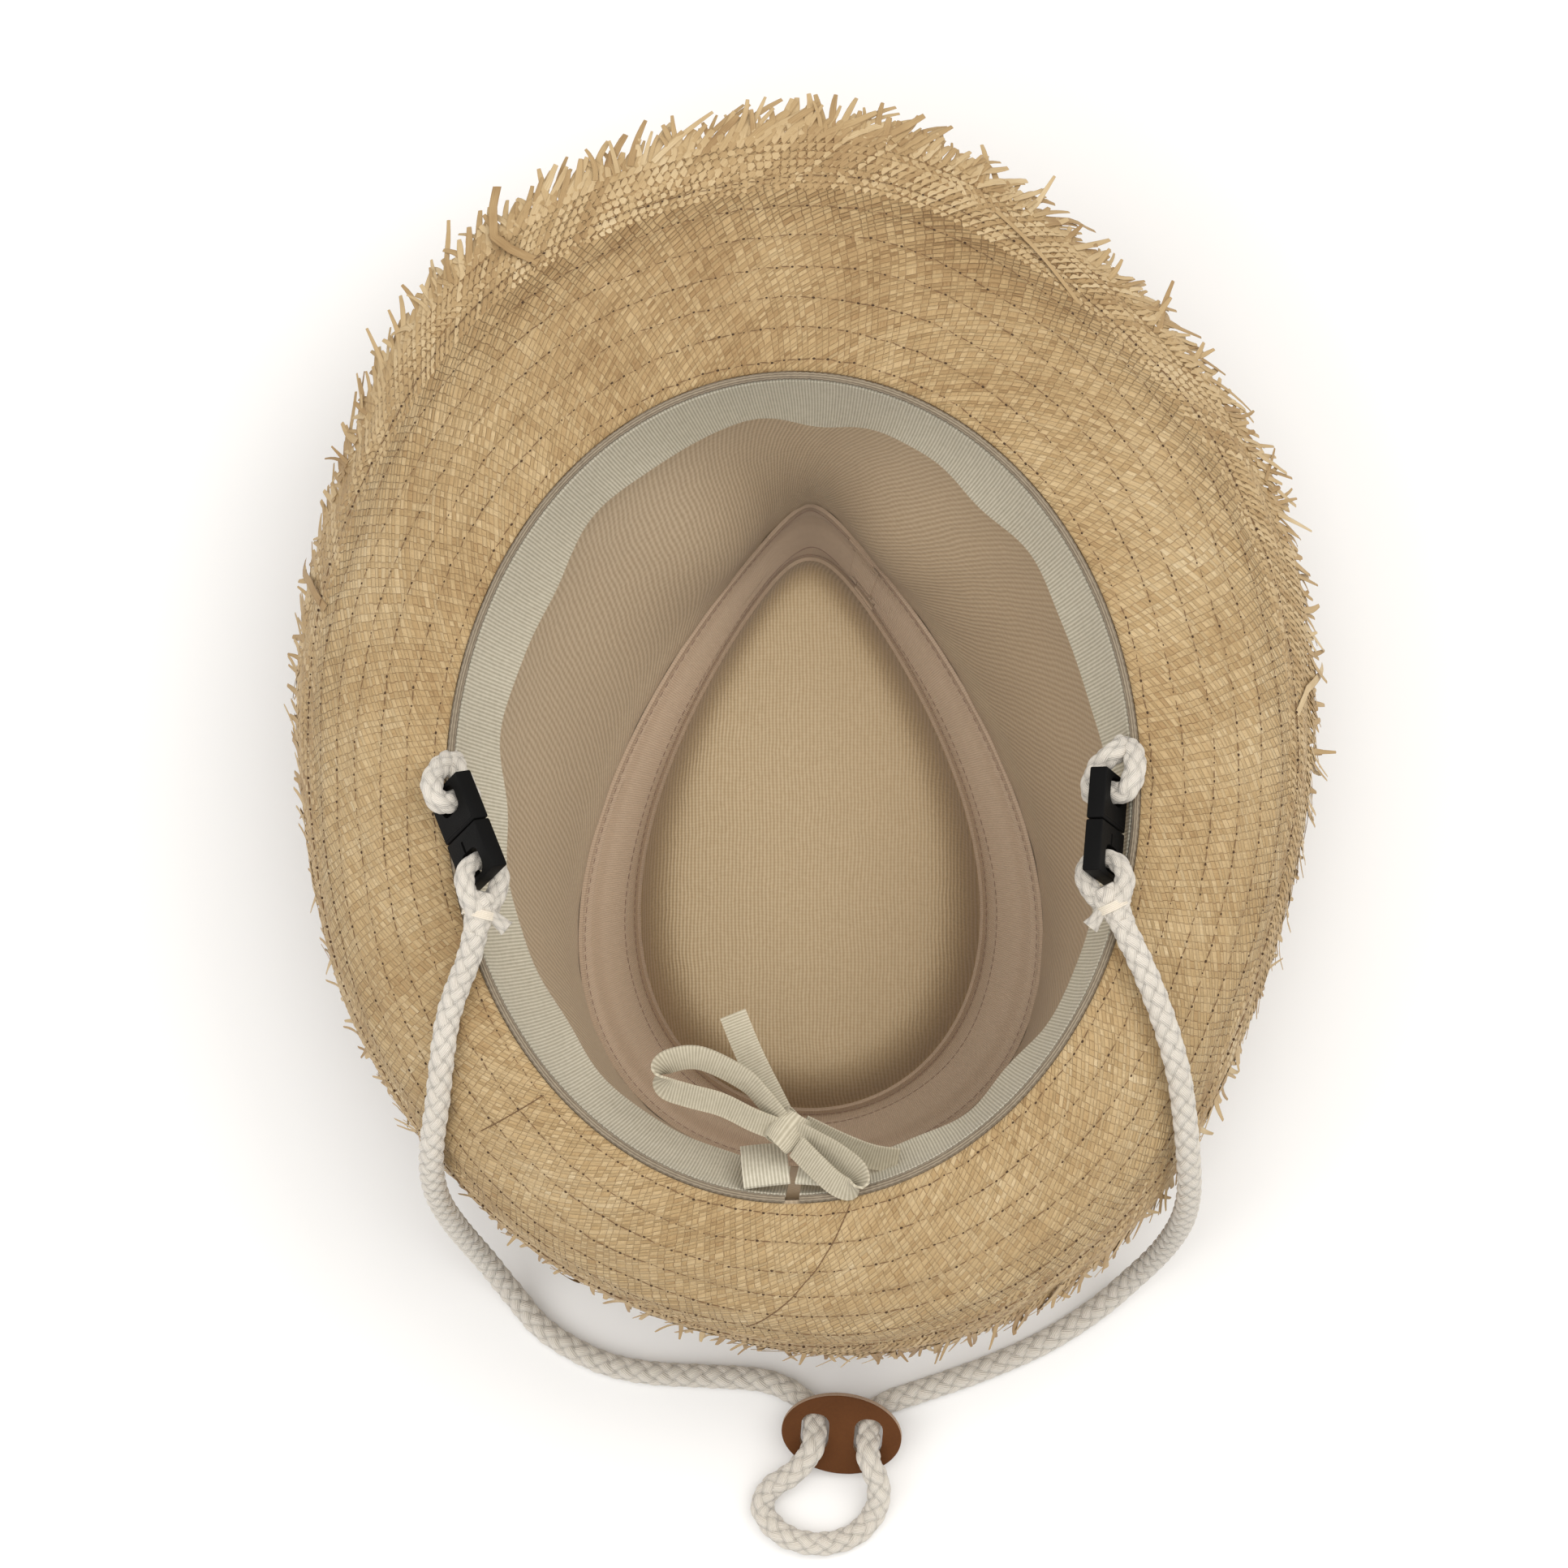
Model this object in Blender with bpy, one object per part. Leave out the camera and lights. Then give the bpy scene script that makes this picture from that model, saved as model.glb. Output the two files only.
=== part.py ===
"""Straw fedora with a chin cord, lying on its crown with the head opening up.

Metres, +Z up. The front of the hat points along +Y. The crown's ridge rests on the floor at Z = 0, the brim
spreads out at the top and curls down at its sides and back. The chin cord runs from two breakaway clips at
the sides of the opening, over the brim and down to the floor behind the hat, and carries a leather slider.
"""
import math
import random

import bmesh
import bpy
from mathutils import Matrix, Vector

# Head opening and crown
HEAD_WIDTH = 0.166
HEAD_LENGTH = 0.200
CROWN_HEIGHT = 0.110
RIDGE_WIDTH = 0.126
RIDGE_LENGTH = 0.179
RIDGE_BAND = 0.022
RIDGE_RADIUS = 0.006
RIDGE_SHIFT = -0.002
TIP_ROUNDNESS = 0.11
DENT_DEPTH = 0.026
DENT_RUN = 0.0095
WIDEST_TURN = 104
PINCH_DEPTH = 0.006
PINCH_TURN = 34
PINCH_SPREAD = 15
PINCH_ROW = 3.1
PINCH_ROWS = 1.2

# Layers, from the straw inwards
STRAW = 0.0014
LINING = 0.0010
TAPE = 0.0010
BAND = 0.0012
GAP = 0.0003
BAND_HEIGHT = 0.025
BAND_SLIT = 1.2
SCALLOP_SHARE = 0.05
PIPING_RADIUS = 0.0009

# Brim
BRIM_LENGTH = 0.062
BRIM_WAVE = 0.0012
BRIM_SEAT = 0.0006
FRAY_LENGTH = 0.0095
FRAY_TIP = 0.0020

# Clips, cord and slider, the slider's place being in the hat's frame
CLIP_LENGTH = 0.0258
CLIP_WIDTH = 0.0148
CLIP_THICKNESS = 0.0044
CLIP_EDGE = 0.0006
HOLE_LENGTH = 0.0066
HOLE_WIDTH = 0.0080
HOLE_BAR = 0.0012
ROPE_RADIUS = 0.0021
EYE_RADIUS = 0.0062
EYE_OVERHANG = 0.0012
WHIPPING_RADIUS = 0.0040
WHIPPING_LENGTH = 0.0055
TAIL_LENGTH = 0.0075
TAIL_TURN = 62
CORD_DIAMETER = 0.006
CORD_STEP = 2.2
CORD_TURN = 26
CORD_CLEARANCE = 0.0016
SLIDER_LENGTH = 0.031
SLIDER_HEIGHT = 0.022
SLIDER_THICKNESS = 0.0022
SLOT_SPACING = 0.0138
SLOT_WIDTH = 0.0073
SLOT_LENGTH = 0.0104
SLIDER_PLACE = (0.0081, -0.1574, 0.0080)
SLIDER_TILT = 24
SLIDER_TURN = -6

# Ribbon bow at the back of the sweatband
RIBBON_WIDTH = 0.0066
RIBBON_THICKNESS = 0.0010
KNOT_SIZE = (0.0085, 0.0090, 0.0066)
KNOT_EDGE = 0.0018
KNOT_TURN = -38
# The knot's place from the rear of the mouth
KNOT_OFFSET = (-0.0010, 0.0165, -0.0015)

STATIONS = 44
BRIM_STATIONS = 80
BRIM_STEPS = 4
FULL_TURN = 2 * math.pi
WALL_STACK = STRAW + LINING + 2 * GAP
LINING_DEPTH = STRAW + GAP
INNER_DEPTH = LINING_DEPTH + LINING + GAP

# Crown section from the mouth down the wall: height share of the crown, taper share towards the ridge
CROWN_WALL = ((1.00, 0.00), (0.80, 0.10), (0.55, 0.34), (0.30, 0.67), (0.12, 0.91))
# The ridge's turn: height share of the ridge radius, inset share of the ridge band
RIDGE_TURN = (
    (1.00, 0.00), (0.29, 0.08), (0.00, 0.27), (0.00, 0.50), (0.00, 0.68), (0.27, 0.86), (1.00, 0.98),
)
# The dent's wall: height share of the dent's depth, run share of its width
DENT_WALL = ((0.54, 0.16), (0.81, 0.47), (0.96, 0.95))
# The dent's floor: height share of the dent's depth, inset share of half the ridge's width
DENT_FLOOR = ((1.00, 0.67), (1.02, 0.86))
SEAM_ROW = 8
LAST_ROW = 16
# Rows that every layer shares, so that the layers stay one gap apart: wall, turn, tip
WALL_ROWS = (1.15, 2.4, 3.6)
TURN_ROWS = (5, 6.5)
TIP_ROWS = (9, 10.2, 11, 12.4, 14.4)

# Brim curl at every 30 degrees, clockwise from the front: slope at the crown and at the edge, downwards
BRIM_CURL = (
    (-5, 15), (0, 44), (4, 58), (10, 80), (12, 86), (12, 81),
    (15, 89), (18, 93), (15, 88), (10, 80), (5, 64), (-3, 25),
)

# Which way each side lies along X
SIDES = {"left": -1, "right": 1}
# Clips: side, centre from that side of the mouth, direction down the length, direction across the wide face
CLIP_FRAMES = (
    ("left", (0.0054, -0.0122, 0.0102), (0.374, -0.908, 0.190), (-0.530, -0.385, -0.755)),
    ("right", (-0.0075, -0.0110, 0.0040), (-0.085, -0.982, 0.170), (-0.366, 0.202, 0.908)),
)
# The whipping below each clip, in the clip's own frame, and the direction in which the chin cord leaves it
EYE_KNOTS = {
    "left": ((0.0039, 0.0191, 0.0022), (-0.25, -0.96, -0.10)),
    "right": ((-0.0015, 0.0188, 0.0028), (0.45, -0.88, -0.12)),
}
# Each rope loop's strands from the seam round the mouth to the upper clip, outside it, then inside it: places
# from that side of the mouth
ANCHOR_STRANDS = {
    "left": (
        ((-0.0038, 0.0036, 0.0032), (-0.0052, 0.0014, 0.0066), (-0.0038, -0.0030, 0.0108)),
        ((0.0054, 0.0008, 0.0046), (0.0034, 0.0042, 0.0036), (0.0000, 0.0070, 0.0039)),
    ),
    "right": (
        ((0.0023, 0.0048, 0.0032), (0.0016, 0.0016, 0.0052), (-0.0002, -0.0014, 0.0058)),
        ((-0.0116, 0.0012, 0.0004), (-0.0082, 0.0056, 0.0020), (-0.0046, 0.0078, 0.0038)),
    ),
}
# The loop's way through the upper clip's hole: heights out of the wide face
ANCHOR_WAY = (0.0040, 0.0, -0.0040)
# The chin cord's route from the left eye over the brim to the floor, through the slider, and back
CORD_ROUTE = (
    (-0.0762, -0.0392, 0.1198), (-0.0778, -0.0436, 0.1171), (-0.0799, -0.0480, 0.1143),
    (-0.0820, -0.0530, 0.1117), (-0.0836, -0.0584, 0.1094), (-0.0850, -0.0664, 0.1062),
    (-0.0866, -0.0760, 0.1003), (-0.0888, -0.0850, 0.0915), (-0.0902, -0.0920, 0.0800),
    (-0.0904, -0.0975, 0.0665), (-0.0892, -0.1022, 0.0520), (-0.0868, -0.1072, 0.0350),
    (-0.0828, -0.1135, 0.0175), (-0.0772, -0.1215, 0.0064), (-0.0690, -0.1310, 0.0032),
    (-0.0560, -0.1385, 0.0031), (-0.0430, -0.1418, 0.0031), (-0.0270, -0.1428, 0.0031),
    (-0.0130, -0.1438, 0.0031), (-0.0046, -0.1470, 0.0036), (0.0004, -0.1516, 0.0053),
    (0.0012, -0.1567, 0.0083), (0.0004, -0.1618, 0.0109), (-0.0042, -0.1674, 0.0096),
    (-0.0104, -0.1716, 0.0056), (-0.0124, -0.1772, 0.0032), (-0.0072, -0.1834, 0.0031),
    (0.0018, -0.1858, 0.0031), (0.0108, -0.1836, 0.0032), (0.0164, -0.1776, 0.0042),
    (0.0176, -0.1708, 0.0080), (0.0152, -0.1640, 0.0111), (0.0150, -0.1581, 0.0077),
    (0.0156, -0.1532, 0.0050), (0.0198, -0.1496, 0.0037), (0.0290, -0.1464, 0.0031),
    (0.0440, -0.1412, 0.0031), (0.0600, -0.1342, 0.0032), (0.0734, -0.1258, 0.0046),
    (0.0830, -0.1178, 0.0106), (0.0892, -0.1120, 0.0235), (0.0930, -0.1072, 0.0400),
    (0.0952, -0.1026, 0.0560), (0.0960, -0.0972, 0.0710), (0.0956, -0.0900, 0.0840),
    (0.0946, -0.0810, 0.0938), (0.0930, -0.0706, 0.1016), (0.0902, -0.0604, 0.1076),
    (0.0868, -0.0510, 0.1122), (0.0834, -0.0432, 0.1146), (0.0803, -0.0368, 0.1158),
)

STRAW_COLOUR = (0.50, 0.36, 0.19)
LINING_COLOUR = (0.42, 0.32, 0.21)
TAPE_COLOUR = (0.40, 0.30, 0.20)
BAND_COLOUR = (0.48, 0.43, 0.33)
COTTON_COLOUR = (0.74, 0.70, 0.62)
PLASTIC_COLOUR = (0.012, 0.012, 0.013)
LEATHER_COLOUR = (0.10, 0.04, 0.016)


def clear_scene():
    for item in list(bpy.data.objects):
        bpy.data.objects.remove(item, do_unlink=True)


def finish(name, mesh_or_bm, colour, roughness, angle=40):
    """Make a node from a closed mesh: faces outwards, shaded smooth, with its own material."""
    mesh = bpy.data.meshes.new(name)
    bmesh.ops.recalc_face_normals(mesh_or_bm, faces=mesh_or_bm.faces)
    mesh_or_bm.to_mesh(mesh)
    mesh_or_bm.free()
    mesh.shade_smooth()
    mesh.set_sharp_from_angle(angle=math.radians(angle))
    node = bpy.data.objects.new(name, mesh)
    bpy.context.scene.collection.objects.link(node)
    dress(node, colour, roughness)
    return node


def dress(node, colour, roughness):
    material = bpy.data.materials.new(node.name + "_finish")
    material.use_nodes = True
    shader = material.node_tree.nodes["Principled BSDF"]
    shader.inputs["Base Color"].default_value = (*colour, 1.0)
    shader.inputs["Roughness"].default_value = roughness
    shader.inputs["Metallic"].default_value = 0.0
    node.data.materials.append(material)


def monotone(values):
    """A smooth curve through evenly spaced values that never overshoots them."""
    steps = [after - before for before, after in zip(values, values[1:])]

    def slope(i):
        if i == 0:
            return steps[0]
        if i == len(steps):
            return steps[-1]
        before, after = steps[i - 1], steps[i]
        return 2 * before * after / (before + after) if before * after > 0 else 0.0

    def at(row):
        i = min(max(int(row), 0), len(steps) - 1)
        u = row - i
        rise = steps[i]
        bend = slope(i) * (u - 2 * u * u + u ** 3) + slope(i + 1) * (u ** 3 - u * u)
        return values[i] + rise * (3 * u * u - 2 * u ** 3) + bend

    return at


def around(values, angle):
    """A smooth periodic curve through values spaced evenly round the hat."""
    count = len(values)
    place = angle / FULL_TURN * count
    i = math.floor(place)
    u = place - i
    a, b, c, d = (values[(i + k) % count] for k in (-1, 0, 1, 2))
    return b + 0.5 * u * (c - a + u * (2 * a - 5 * b + 4 * c - d + u * (3 * (b - c) + d - a)))


def crown_rows():
    rows = [(high * CROWN_HEIGHT, taper, 0.0) for high, taper in CROWN_WALL]
    rows += [(high * RIDGE_RADIUS, 1.0, inset * RIDGE_BAND) for high, inset in RIDGE_TURN]
    rows += [(high * DENT_DEPTH, 1.0, RIDGE_BAND + run * DENT_RUN) for high, run in DENT_WALL]
    rows += [(high * DENT_DEPTH, 1.0, inset * RIDGE_WIDTH / 2) for high, inset in DENT_FLOOR]
    return [monotone(column) for column in zip(*rows)]


HEIGHT_AT, TAPER_AT, INSET_AT = crown_rows()


def teardrop(turn):
    """Width share of the ridge's teardrop outline, one at its widest."""
    def width(angle):
        return math.sin(angle) * math.sqrt(math.sin(angle / 2) ** 2 + TIP_ROUNDNESS)
    return width(turn) / width(math.radians(WIDEST_TURN))


def crown_point(turn, row):
    """A point of the straw's outer face: turn clockwise from the front, row from the mouth to the dent."""
    taper, inset = TAPER_AT(row), INSET_AT(row)
    mouth_x = (HEAD_WIDTH / 2 + WALL_STACK) * math.sin(turn)
    mouth_y = (HEAD_LENGTH / 2 + WALL_STACK) * math.cos(turn)
    ridge_x = (RIDGE_WIDTH / 2 - inset) * teardrop(turn)
    ridge_y = RIDGE_SHIFT + (RIDGE_LENGTH / 2 - 0.95 * inset) * math.cos(turn)
    x = mouth_x + (ridge_x - mouth_x) * taper
    y = mouth_y + (ridge_y - mouth_y) * taper
    if row < SEAM_ROW:
        pinch = pinch_share(turn, row) * PINCH_DEPTH
        x -= pinch * math.copysign(math.sqrt(0.5), math.sin(turn))
        y -= pinch * math.sqrt(0.5)
    return Vector((x, y, HEIGHT_AT(row)))


def pinch_share(turn, row):
    """The two finger dents at the front of the crown, one at their middle and nothing away from them."""
    off = abs(math.degrees(math.atan2(math.sin(turn), math.cos(turn)))) - PINCH_TURN
    return math.exp(-(off / PINCH_SPREAD) ** 2 - ((row - PINCH_ROW) / PINCH_ROWS) ** 2)


def crown_inside(turn, row, depth):
    """The point at a depth below the straw's outer face, measured towards the inside of the hat."""
    d_turn, d_row = 0.01, 0.02
    along = crown_point(turn + d_turn, row) - crown_point(turn - d_turn, row)
    low, high = max(row - d_row, 0), min(row + d_row, LAST_ROW)
    down = crown_point(turn, high) - crown_point(turn, low)
    return crown_point(turn, row) - along.cross(down).normalized() * depth


def add_split_face(bm, a, b, c, d):
    """A four-sided face split from its first to its third corner, so that neighbouring layers bend alike."""
    bm.faces.new((a, b, c))
    bm.faces.new((a, c, d))


def strip_mesh(profiles, closed_turn):
    """Skin a list of closed profiles, one a station, round the hat or between two end caps."""
    bm = bmesh.new()
    rings = [[bm.verts.new(point) for point in profile] for profile in profiles]
    count = len(profiles[0])
    pairs = list(zip(rings, rings[1:]))
    if closed_turn:
        pairs.append((rings[-1], rings[0]))
    for here, there in pairs:
        for k in range(count):
            m = (k + 1) % count
            if 2 * k < count - 1:
                add_split_face(bm, here[k], here[m], there[m], there[k])
            else:
                add_split_face(bm, here[m], there[m], there[k], here[k])
    if not closed_turn:
        bm.faces.new(rings[0])
        bm.faces.new(rings[-1])
    return bm


def station_turns(count):
    return [FULL_TURN * i / count for i in range(count)]


def layer_profiles(turns, rows, outer, inner):
    profiles = []
    for turn in turns:
        down = [crown_inside(turn, row, outer) for row in rows]
        back = [crown_inside(turn, row, inner) for row in reversed(rows)]
        profiles.append(down + back)
    return profiles


def crown_ring(name, rows, outer, inner, colour):
    profiles = layer_profiles(station_turns(STATIONS), rows, outer, inner)
    return finish(name, strip_mesh(profiles, True), colour, 0.8)


def crown_disc(name, rows, outer, inner, colour):
    """A layer of the crown's tip, from the seam to the middle, closed there by a fan on each face."""
    bm = bmesh.new()
    turns = station_turns(STATIONS)
    order = [(row, outer) for row in reversed(rows)] + [(row, inner) for row in rows]
    rings = [[bm.verts.new(crown_inside(turn, row, depth)) for turn in turns] for row, depth in order]
    for upper, lower in zip(rings, rings[1:]):
        for k in range(STATIONS):
            m = (k + 1) % STATIONS
            if upper in rings[:len(rows) - 1]:
                add_split_face(bm, lower[k], upper[k], upper[m], lower[m])
            else:
                add_split_face(bm, upper[k], upper[m], lower[m], lower[k])
    for ring in (rings[0], rings[-1]):
        middle = bm.verts.new(sum((vert.co for vert in ring), Vector()) / STATIONS)
        for k in range(STATIONS):
            bm.faces.new((ring[k], ring[(k + 1) % STATIONS], middle))
    return finish(name, bm, colour, 0.8)


def row_below_mouth(drop):
    """The crown row that lies a given drop below the mouth."""
    row = 0.0
    while HEIGHT_AT(row) > CROWN_HEIGHT - drop:
        row += 0.005
    return row


def row_at_inset(inset):
    row = float(SEAM_ROW) - 2
    while INSET_AT(row) < inset:
        row += 0.002
    return row


def make_crown():
    seam = RIDGE_TURN[3][1] * RIDGE_BAND
    side_end, tip_start = row_at_inset(seam - GAP / 2), row_at_inset(seam + GAP / 2)
    under_brim = STRAW + GAP + BRIM_SEAT
    side_rows = (*WALL_ROWS, *TURN_ROWS, side_end)
    crown_ring("crown_side", (row_below_mouth(under_brim), *side_rows), 0, STRAW, STRAW_COLOUR)
    crown_disc("crown_tip", (tip_start, *TIP_ROWS, LAST_ROW), 0, STRAW, STRAW_COLOUR)
    lining_top = row_below_mouth(PIPING_RADIUS + GAP)
    ends = (LINING_DEPTH, LINING_DEPTH + LINING, LINING_COLOUR)
    crown_ring("lining_side", (lining_top, *side_rows), *ends)
    crown_disc("lining_tip", (tip_start, *TIP_ROWS, LAST_ROW), *ends)
    tape_rows = (*TURN_ROWS, SEAM_ROW, *TIP_ROWS[:3])
    crown_ring("seam_tape", tape_rows, INNER_DEPTH, INNER_DEPTH + TAPE, TAPE_COLOUR)


def make_sweatband():
    """A ribbon round the mouth, open at the back, with a scalloped lower edge and a cord along its top."""
    slit = math.radians(BAND_SLIT)
    between = [math.pi + turn for turn in station_turns(STATIONS)[1:]]
    turns = [math.pi + slit, *between, 3 * math.pi - slit]
    top = row_below_mouth(PIPING_RADIUS + GAP)
    profiles = []
    for turn in turns:
        scallop = SCALLOP_SHARE * (math.sin(11 * turn) + 0.8 * math.sin(6 * turn + 1.3))
        low = row_below_mouth(BAND_HEIGHT * (1 + scallop))
        profiles += layer_profiles([turn], (top, low), INNER_DEPTH, INNER_DEPTH + BAND)
    finish("sweatband", strip_mesh(profiles, False), BAND_COLOUR, 0.75)
    profiles = []
    for turn in turns:
        centre, out = mouth_frame(turn)
        centre.z += GAP
        ring = [math.radians(72 * k + 18) for k in range(5)]
        spokes = [out * math.cos(a) + Vector((0, 0, math.sin(a))) for a in ring]
        profiles.append([centre + PIPING_RADIUS * spoke for spoke in spokes])
    finish("sweatband_cord", strip_mesh(profiles, False), BAND_COLOUR, 0.75)


def mouth_frame(turn):
    """The point of the head opening's edge at a station and the level direction away from the crown."""
    half_x, half_y = HEAD_WIDTH / 2, HEAD_LENGTH / 2
    point = Vector((half_x * math.sin(turn), half_y * math.cos(turn), CROWN_HEIGHT))
    out = Vector((math.sin(turn) / half_x, math.cos(turn) / half_y, 0)).normalized()
    return point, out


def mouth_side(side):
    """The left or right end of the head opening's edge."""
    return Vector((SIDES[side] * HEAD_WIDTH / 2, 0, CROWN_HEIGHT))


def brim_point(turn, share, lift):
    """A point of the brim at a share of its length, lifted off its middle face, and the slope there."""
    start, end = (math.radians(around([row[k] for row in BRIM_CURL], turn)) for k in (0, 1))
    length = BRIM_LENGTH + BRIM_WAVE * (math.sin(5 * turn + 0.7) + 0.6 * math.sin(9 * turn))
    slope = start + (end - start) * share
    bend = (end - start) / length
    run = (math.sin(slope) - math.sin(start)) / bend
    drop = (math.cos(start) - math.cos(slope)) / bend
    centre, out = mouth_frame(turn)
    edge = PIPING_RADIUS + GAP
    place = centre + out * (edge + run + lift * math.sin(slope))
    place.z += lift * math.cos(slope) - drop
    return place, slope, out


def make_brim():
    """The brim's curled sheet, whose rim runs out in tapered locks of loose straw."""
    turns = station_turns(BRIM_STATIONS)
    shares = [k / BRIM_STEPS for k in range(BRIM_STEPS + 1)]
    bm = bmesh.new()
    rings = []
    for turn in turns:
        top = [bm.verts.new(brim_point(turn, share, STRAW / 2)[0]) for share in shares]
        under = [bm.verts.new(brim_point(turn, share, -STRAW / 2)[0]) for share in reversed(shares)]
        rings.append(top + under)
    rim = len(shares) - 1
    count = 2 * len(shares)
    for i, here in enumerate(rings):
        there = rings[(i + 1) % BRIM_STATIONS]
        for k in range(count):
            if k != rim:
                m = (k + 1) % count
                bm.faces.new((here[k], here[m], there[m], there[k]))
    chance = random.Random(7)
    for i, here in enumerate(rings):
        there = rings[(i + 1) % BRIM_STATIONS]
        root = (here[rim], here[rim + 1], there[rim + 1], there[rim])
        turn = (i + 0.5) * FULL_TURN / BRIM_STATIONS
        add_lock(bm, root, turn, chance)
    return finish("brim", bm, STRAW_COLOUR, 0.8)


def add_lock(bm, root, turn, chance):
    """One tapered lock of frayed straw on the brim's rim, fused to it along the root's four edges."""
    edge, slope, out = brim_point(turn, 1.0, 0)
    across = (root[3].co - root[0].co).normalized()
    forward = out * math.cos(slope) - Vector((0, 0, math.sin(slope)))
    normal = forward.cross(across).normalized()
    length = FRAY_LENGTH * (0.35 + 0.65 * chance.random())
    lean = length * chance.uniform(-0.45, 0.45)
    tip = edge + forward * length + across * lean + normal * chance.uniform(-0.8, 0.8) * STRAW
    lift = normal * STRAW * 0.3
    side = across * FRAY_TIP / 2
    if (root[0].co - root[1].co).dot(lift) < 0:
        lift = -lift
    corners = (tip - side + lift, tip - side - lift, tip + side - lift, tip + side + lift)
    ends = [bm.verts.new(corner) for corner in corners]
    for k in range(4):
        m = (k + 1) % 4
        bm.faces.new((root[k], root[m], ends[m], ends[k]))
    bm.faces.new(ends)


def spline_through(points, step):
    """Points at even steps on one smooth curve through a hand-chosen route."""
    points = [Vector(point) for point in points]
    ends = [2 * points[0] - points[1]] + points + [2 * points[-1] - points[-2]]
    fine = []
    for a, b, c, d in zip(ends, ends[1:], ends[2:], ends[3:]):
        for i in range(24):
            u = i / 24
            fine.append(b + 0.5 * u * (c - a + u * (2 * a - 5 * b + 4 * c - d + u * (3 * (b - c) + d - a))))
    fine.append(points[-1])
    lengths = [0.0]
    for here, there in zip(fine, fine[1:]):
        lengths.append(lengths[-1] + (there - here).length)
    count = max(2, round(lengths[-1] / step))
    result, k = [], 0
    for i in range(count + 1):
        want = lengths[-1] * i / count
        while k < len(lengths) - 2 and lengths[k + 1] < want:
            k += 1
        share = (want - lengths[k]) / (lengths[k + 1] - lengths[k])
        result.append(fine[k].lerp(fine[k + 1], share))
    return result


def make_rope(name, points, radius):
    """A cord as a round bevel on a curve with filled ends."""
    curve = bpy.data.curves.new(name, "CURVE")
    curve.dimensions = "3D"
    curve.bevel_depth = radius
    curve.bevel_resolution = 2
    curve.use_fill_caps = True
    spline = curve.splines.new("POLY")
    spline.points.add(len(points) - 1)
    for target, point in zip(spline.points, points):
        target.co = (*point, 1.0)
    node = bpy.data.objects.new(name, curve)
    bpy.context.scene.collection.objects.link(node)
    dress(node, COTTON_COLOUR, 0.85)
    return node


def clip_matrix(side, centre, along, across):
    """A frame with Y down the clip's length, X across its wide face and Z out of that face."""
    y_axis = Vector(along).normalized()
    z_axis = Vector(across).cross(y_axis).normalized()
    turned = Matrix((y_axis.cross(z_axis), y_axis, z_axis)).transposed().to_4x4()
    return Matrix.Translation(mouth_side(side) + Vector(centre)) @ turned


def cut(node, cutter):
    cutter.hide_render = True
    cutter.display_type = "WIRE"
    modifier = node.modifiers.new("hole", "BOOLEAN")
    modifier.operation = "DIFFERENCE"
    modifier.solver = "EXACT"
    modifier.object = cutter


def join_to(node, other):
    other.hide_render = True
    other.display_type = "WIRE"
    modifier = node.modifiers.new("joined", "BOOLEAN")
    modifier.operation = "UNION"
    modifier.solver = "EXACT"
    modifier.object = other


def block(name, size, colour, centre=(0, 0, 0), bevel=0.0):
    bm = bmesh.new()
    bmesh.ops.create_cube(bm, size=1.0)
    bmesh.ops.scale(bm, vec=size, verts=bm.verts)
    bmesh.ops.translate(bm, vec=centre, verts=bm.verts)
    if bevel:
        bmesh.ops.bevel(bm, geom=bm.edges[:], offset=bevel, segments=1, affect="EDGES")
    return finish(name, bm, colour, 0.45, 30)


def make_clip(side, frame, end):
    """One half of a breakaway clip with its rope hole: end is 1 for the lower half, -1 for the upper one."""
    label = "lower" if end > 0 else "upper"
    length = (CLIP_LENGTH - GAP) / 2
    size = (CLIP_WIDTH, length, CLIP_THICKNESS)
    middle = (0, end * (length + GAP) / 2, 0)
    clip = block(f"clip_{label}_{side}", size, PLASTIC_COLOUR, middle, CLIP_EDGE)
    hole_size = (HOLE_WIDTH, HOLE_LENGTH, 3 * CLIP_THICKNESS)
    hole = block(f"hole_{label}_{side}", hole_size, PLASTIC_COLOUR, (0, end * hole_centre(), 0))
    clip.matrix_world = frame
    hole.matrix_world = frame
    cut(clip, hole)


def hole_centre():
    return CLIP_LENGTH / 2 - HOLE_BAR - HOLE_LENGTH / 2


def knot_frame(side, frame):
    """The place of the whipping below a clip, with Y along the cord that leaves it."""
    place, leave = EYE_KNOTS[side]
    y_axis = Vector(leave).normalized()
    x_axis = y_axis.cross(Vector((0, 0, 1))).normalized()
    turned = Matrix((x_axis, y_axis, x_axis.cross(y_axis))).transposed().to_4x4()
    return Matrix.Translation(frame @ Vector(place)) @ turned


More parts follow.
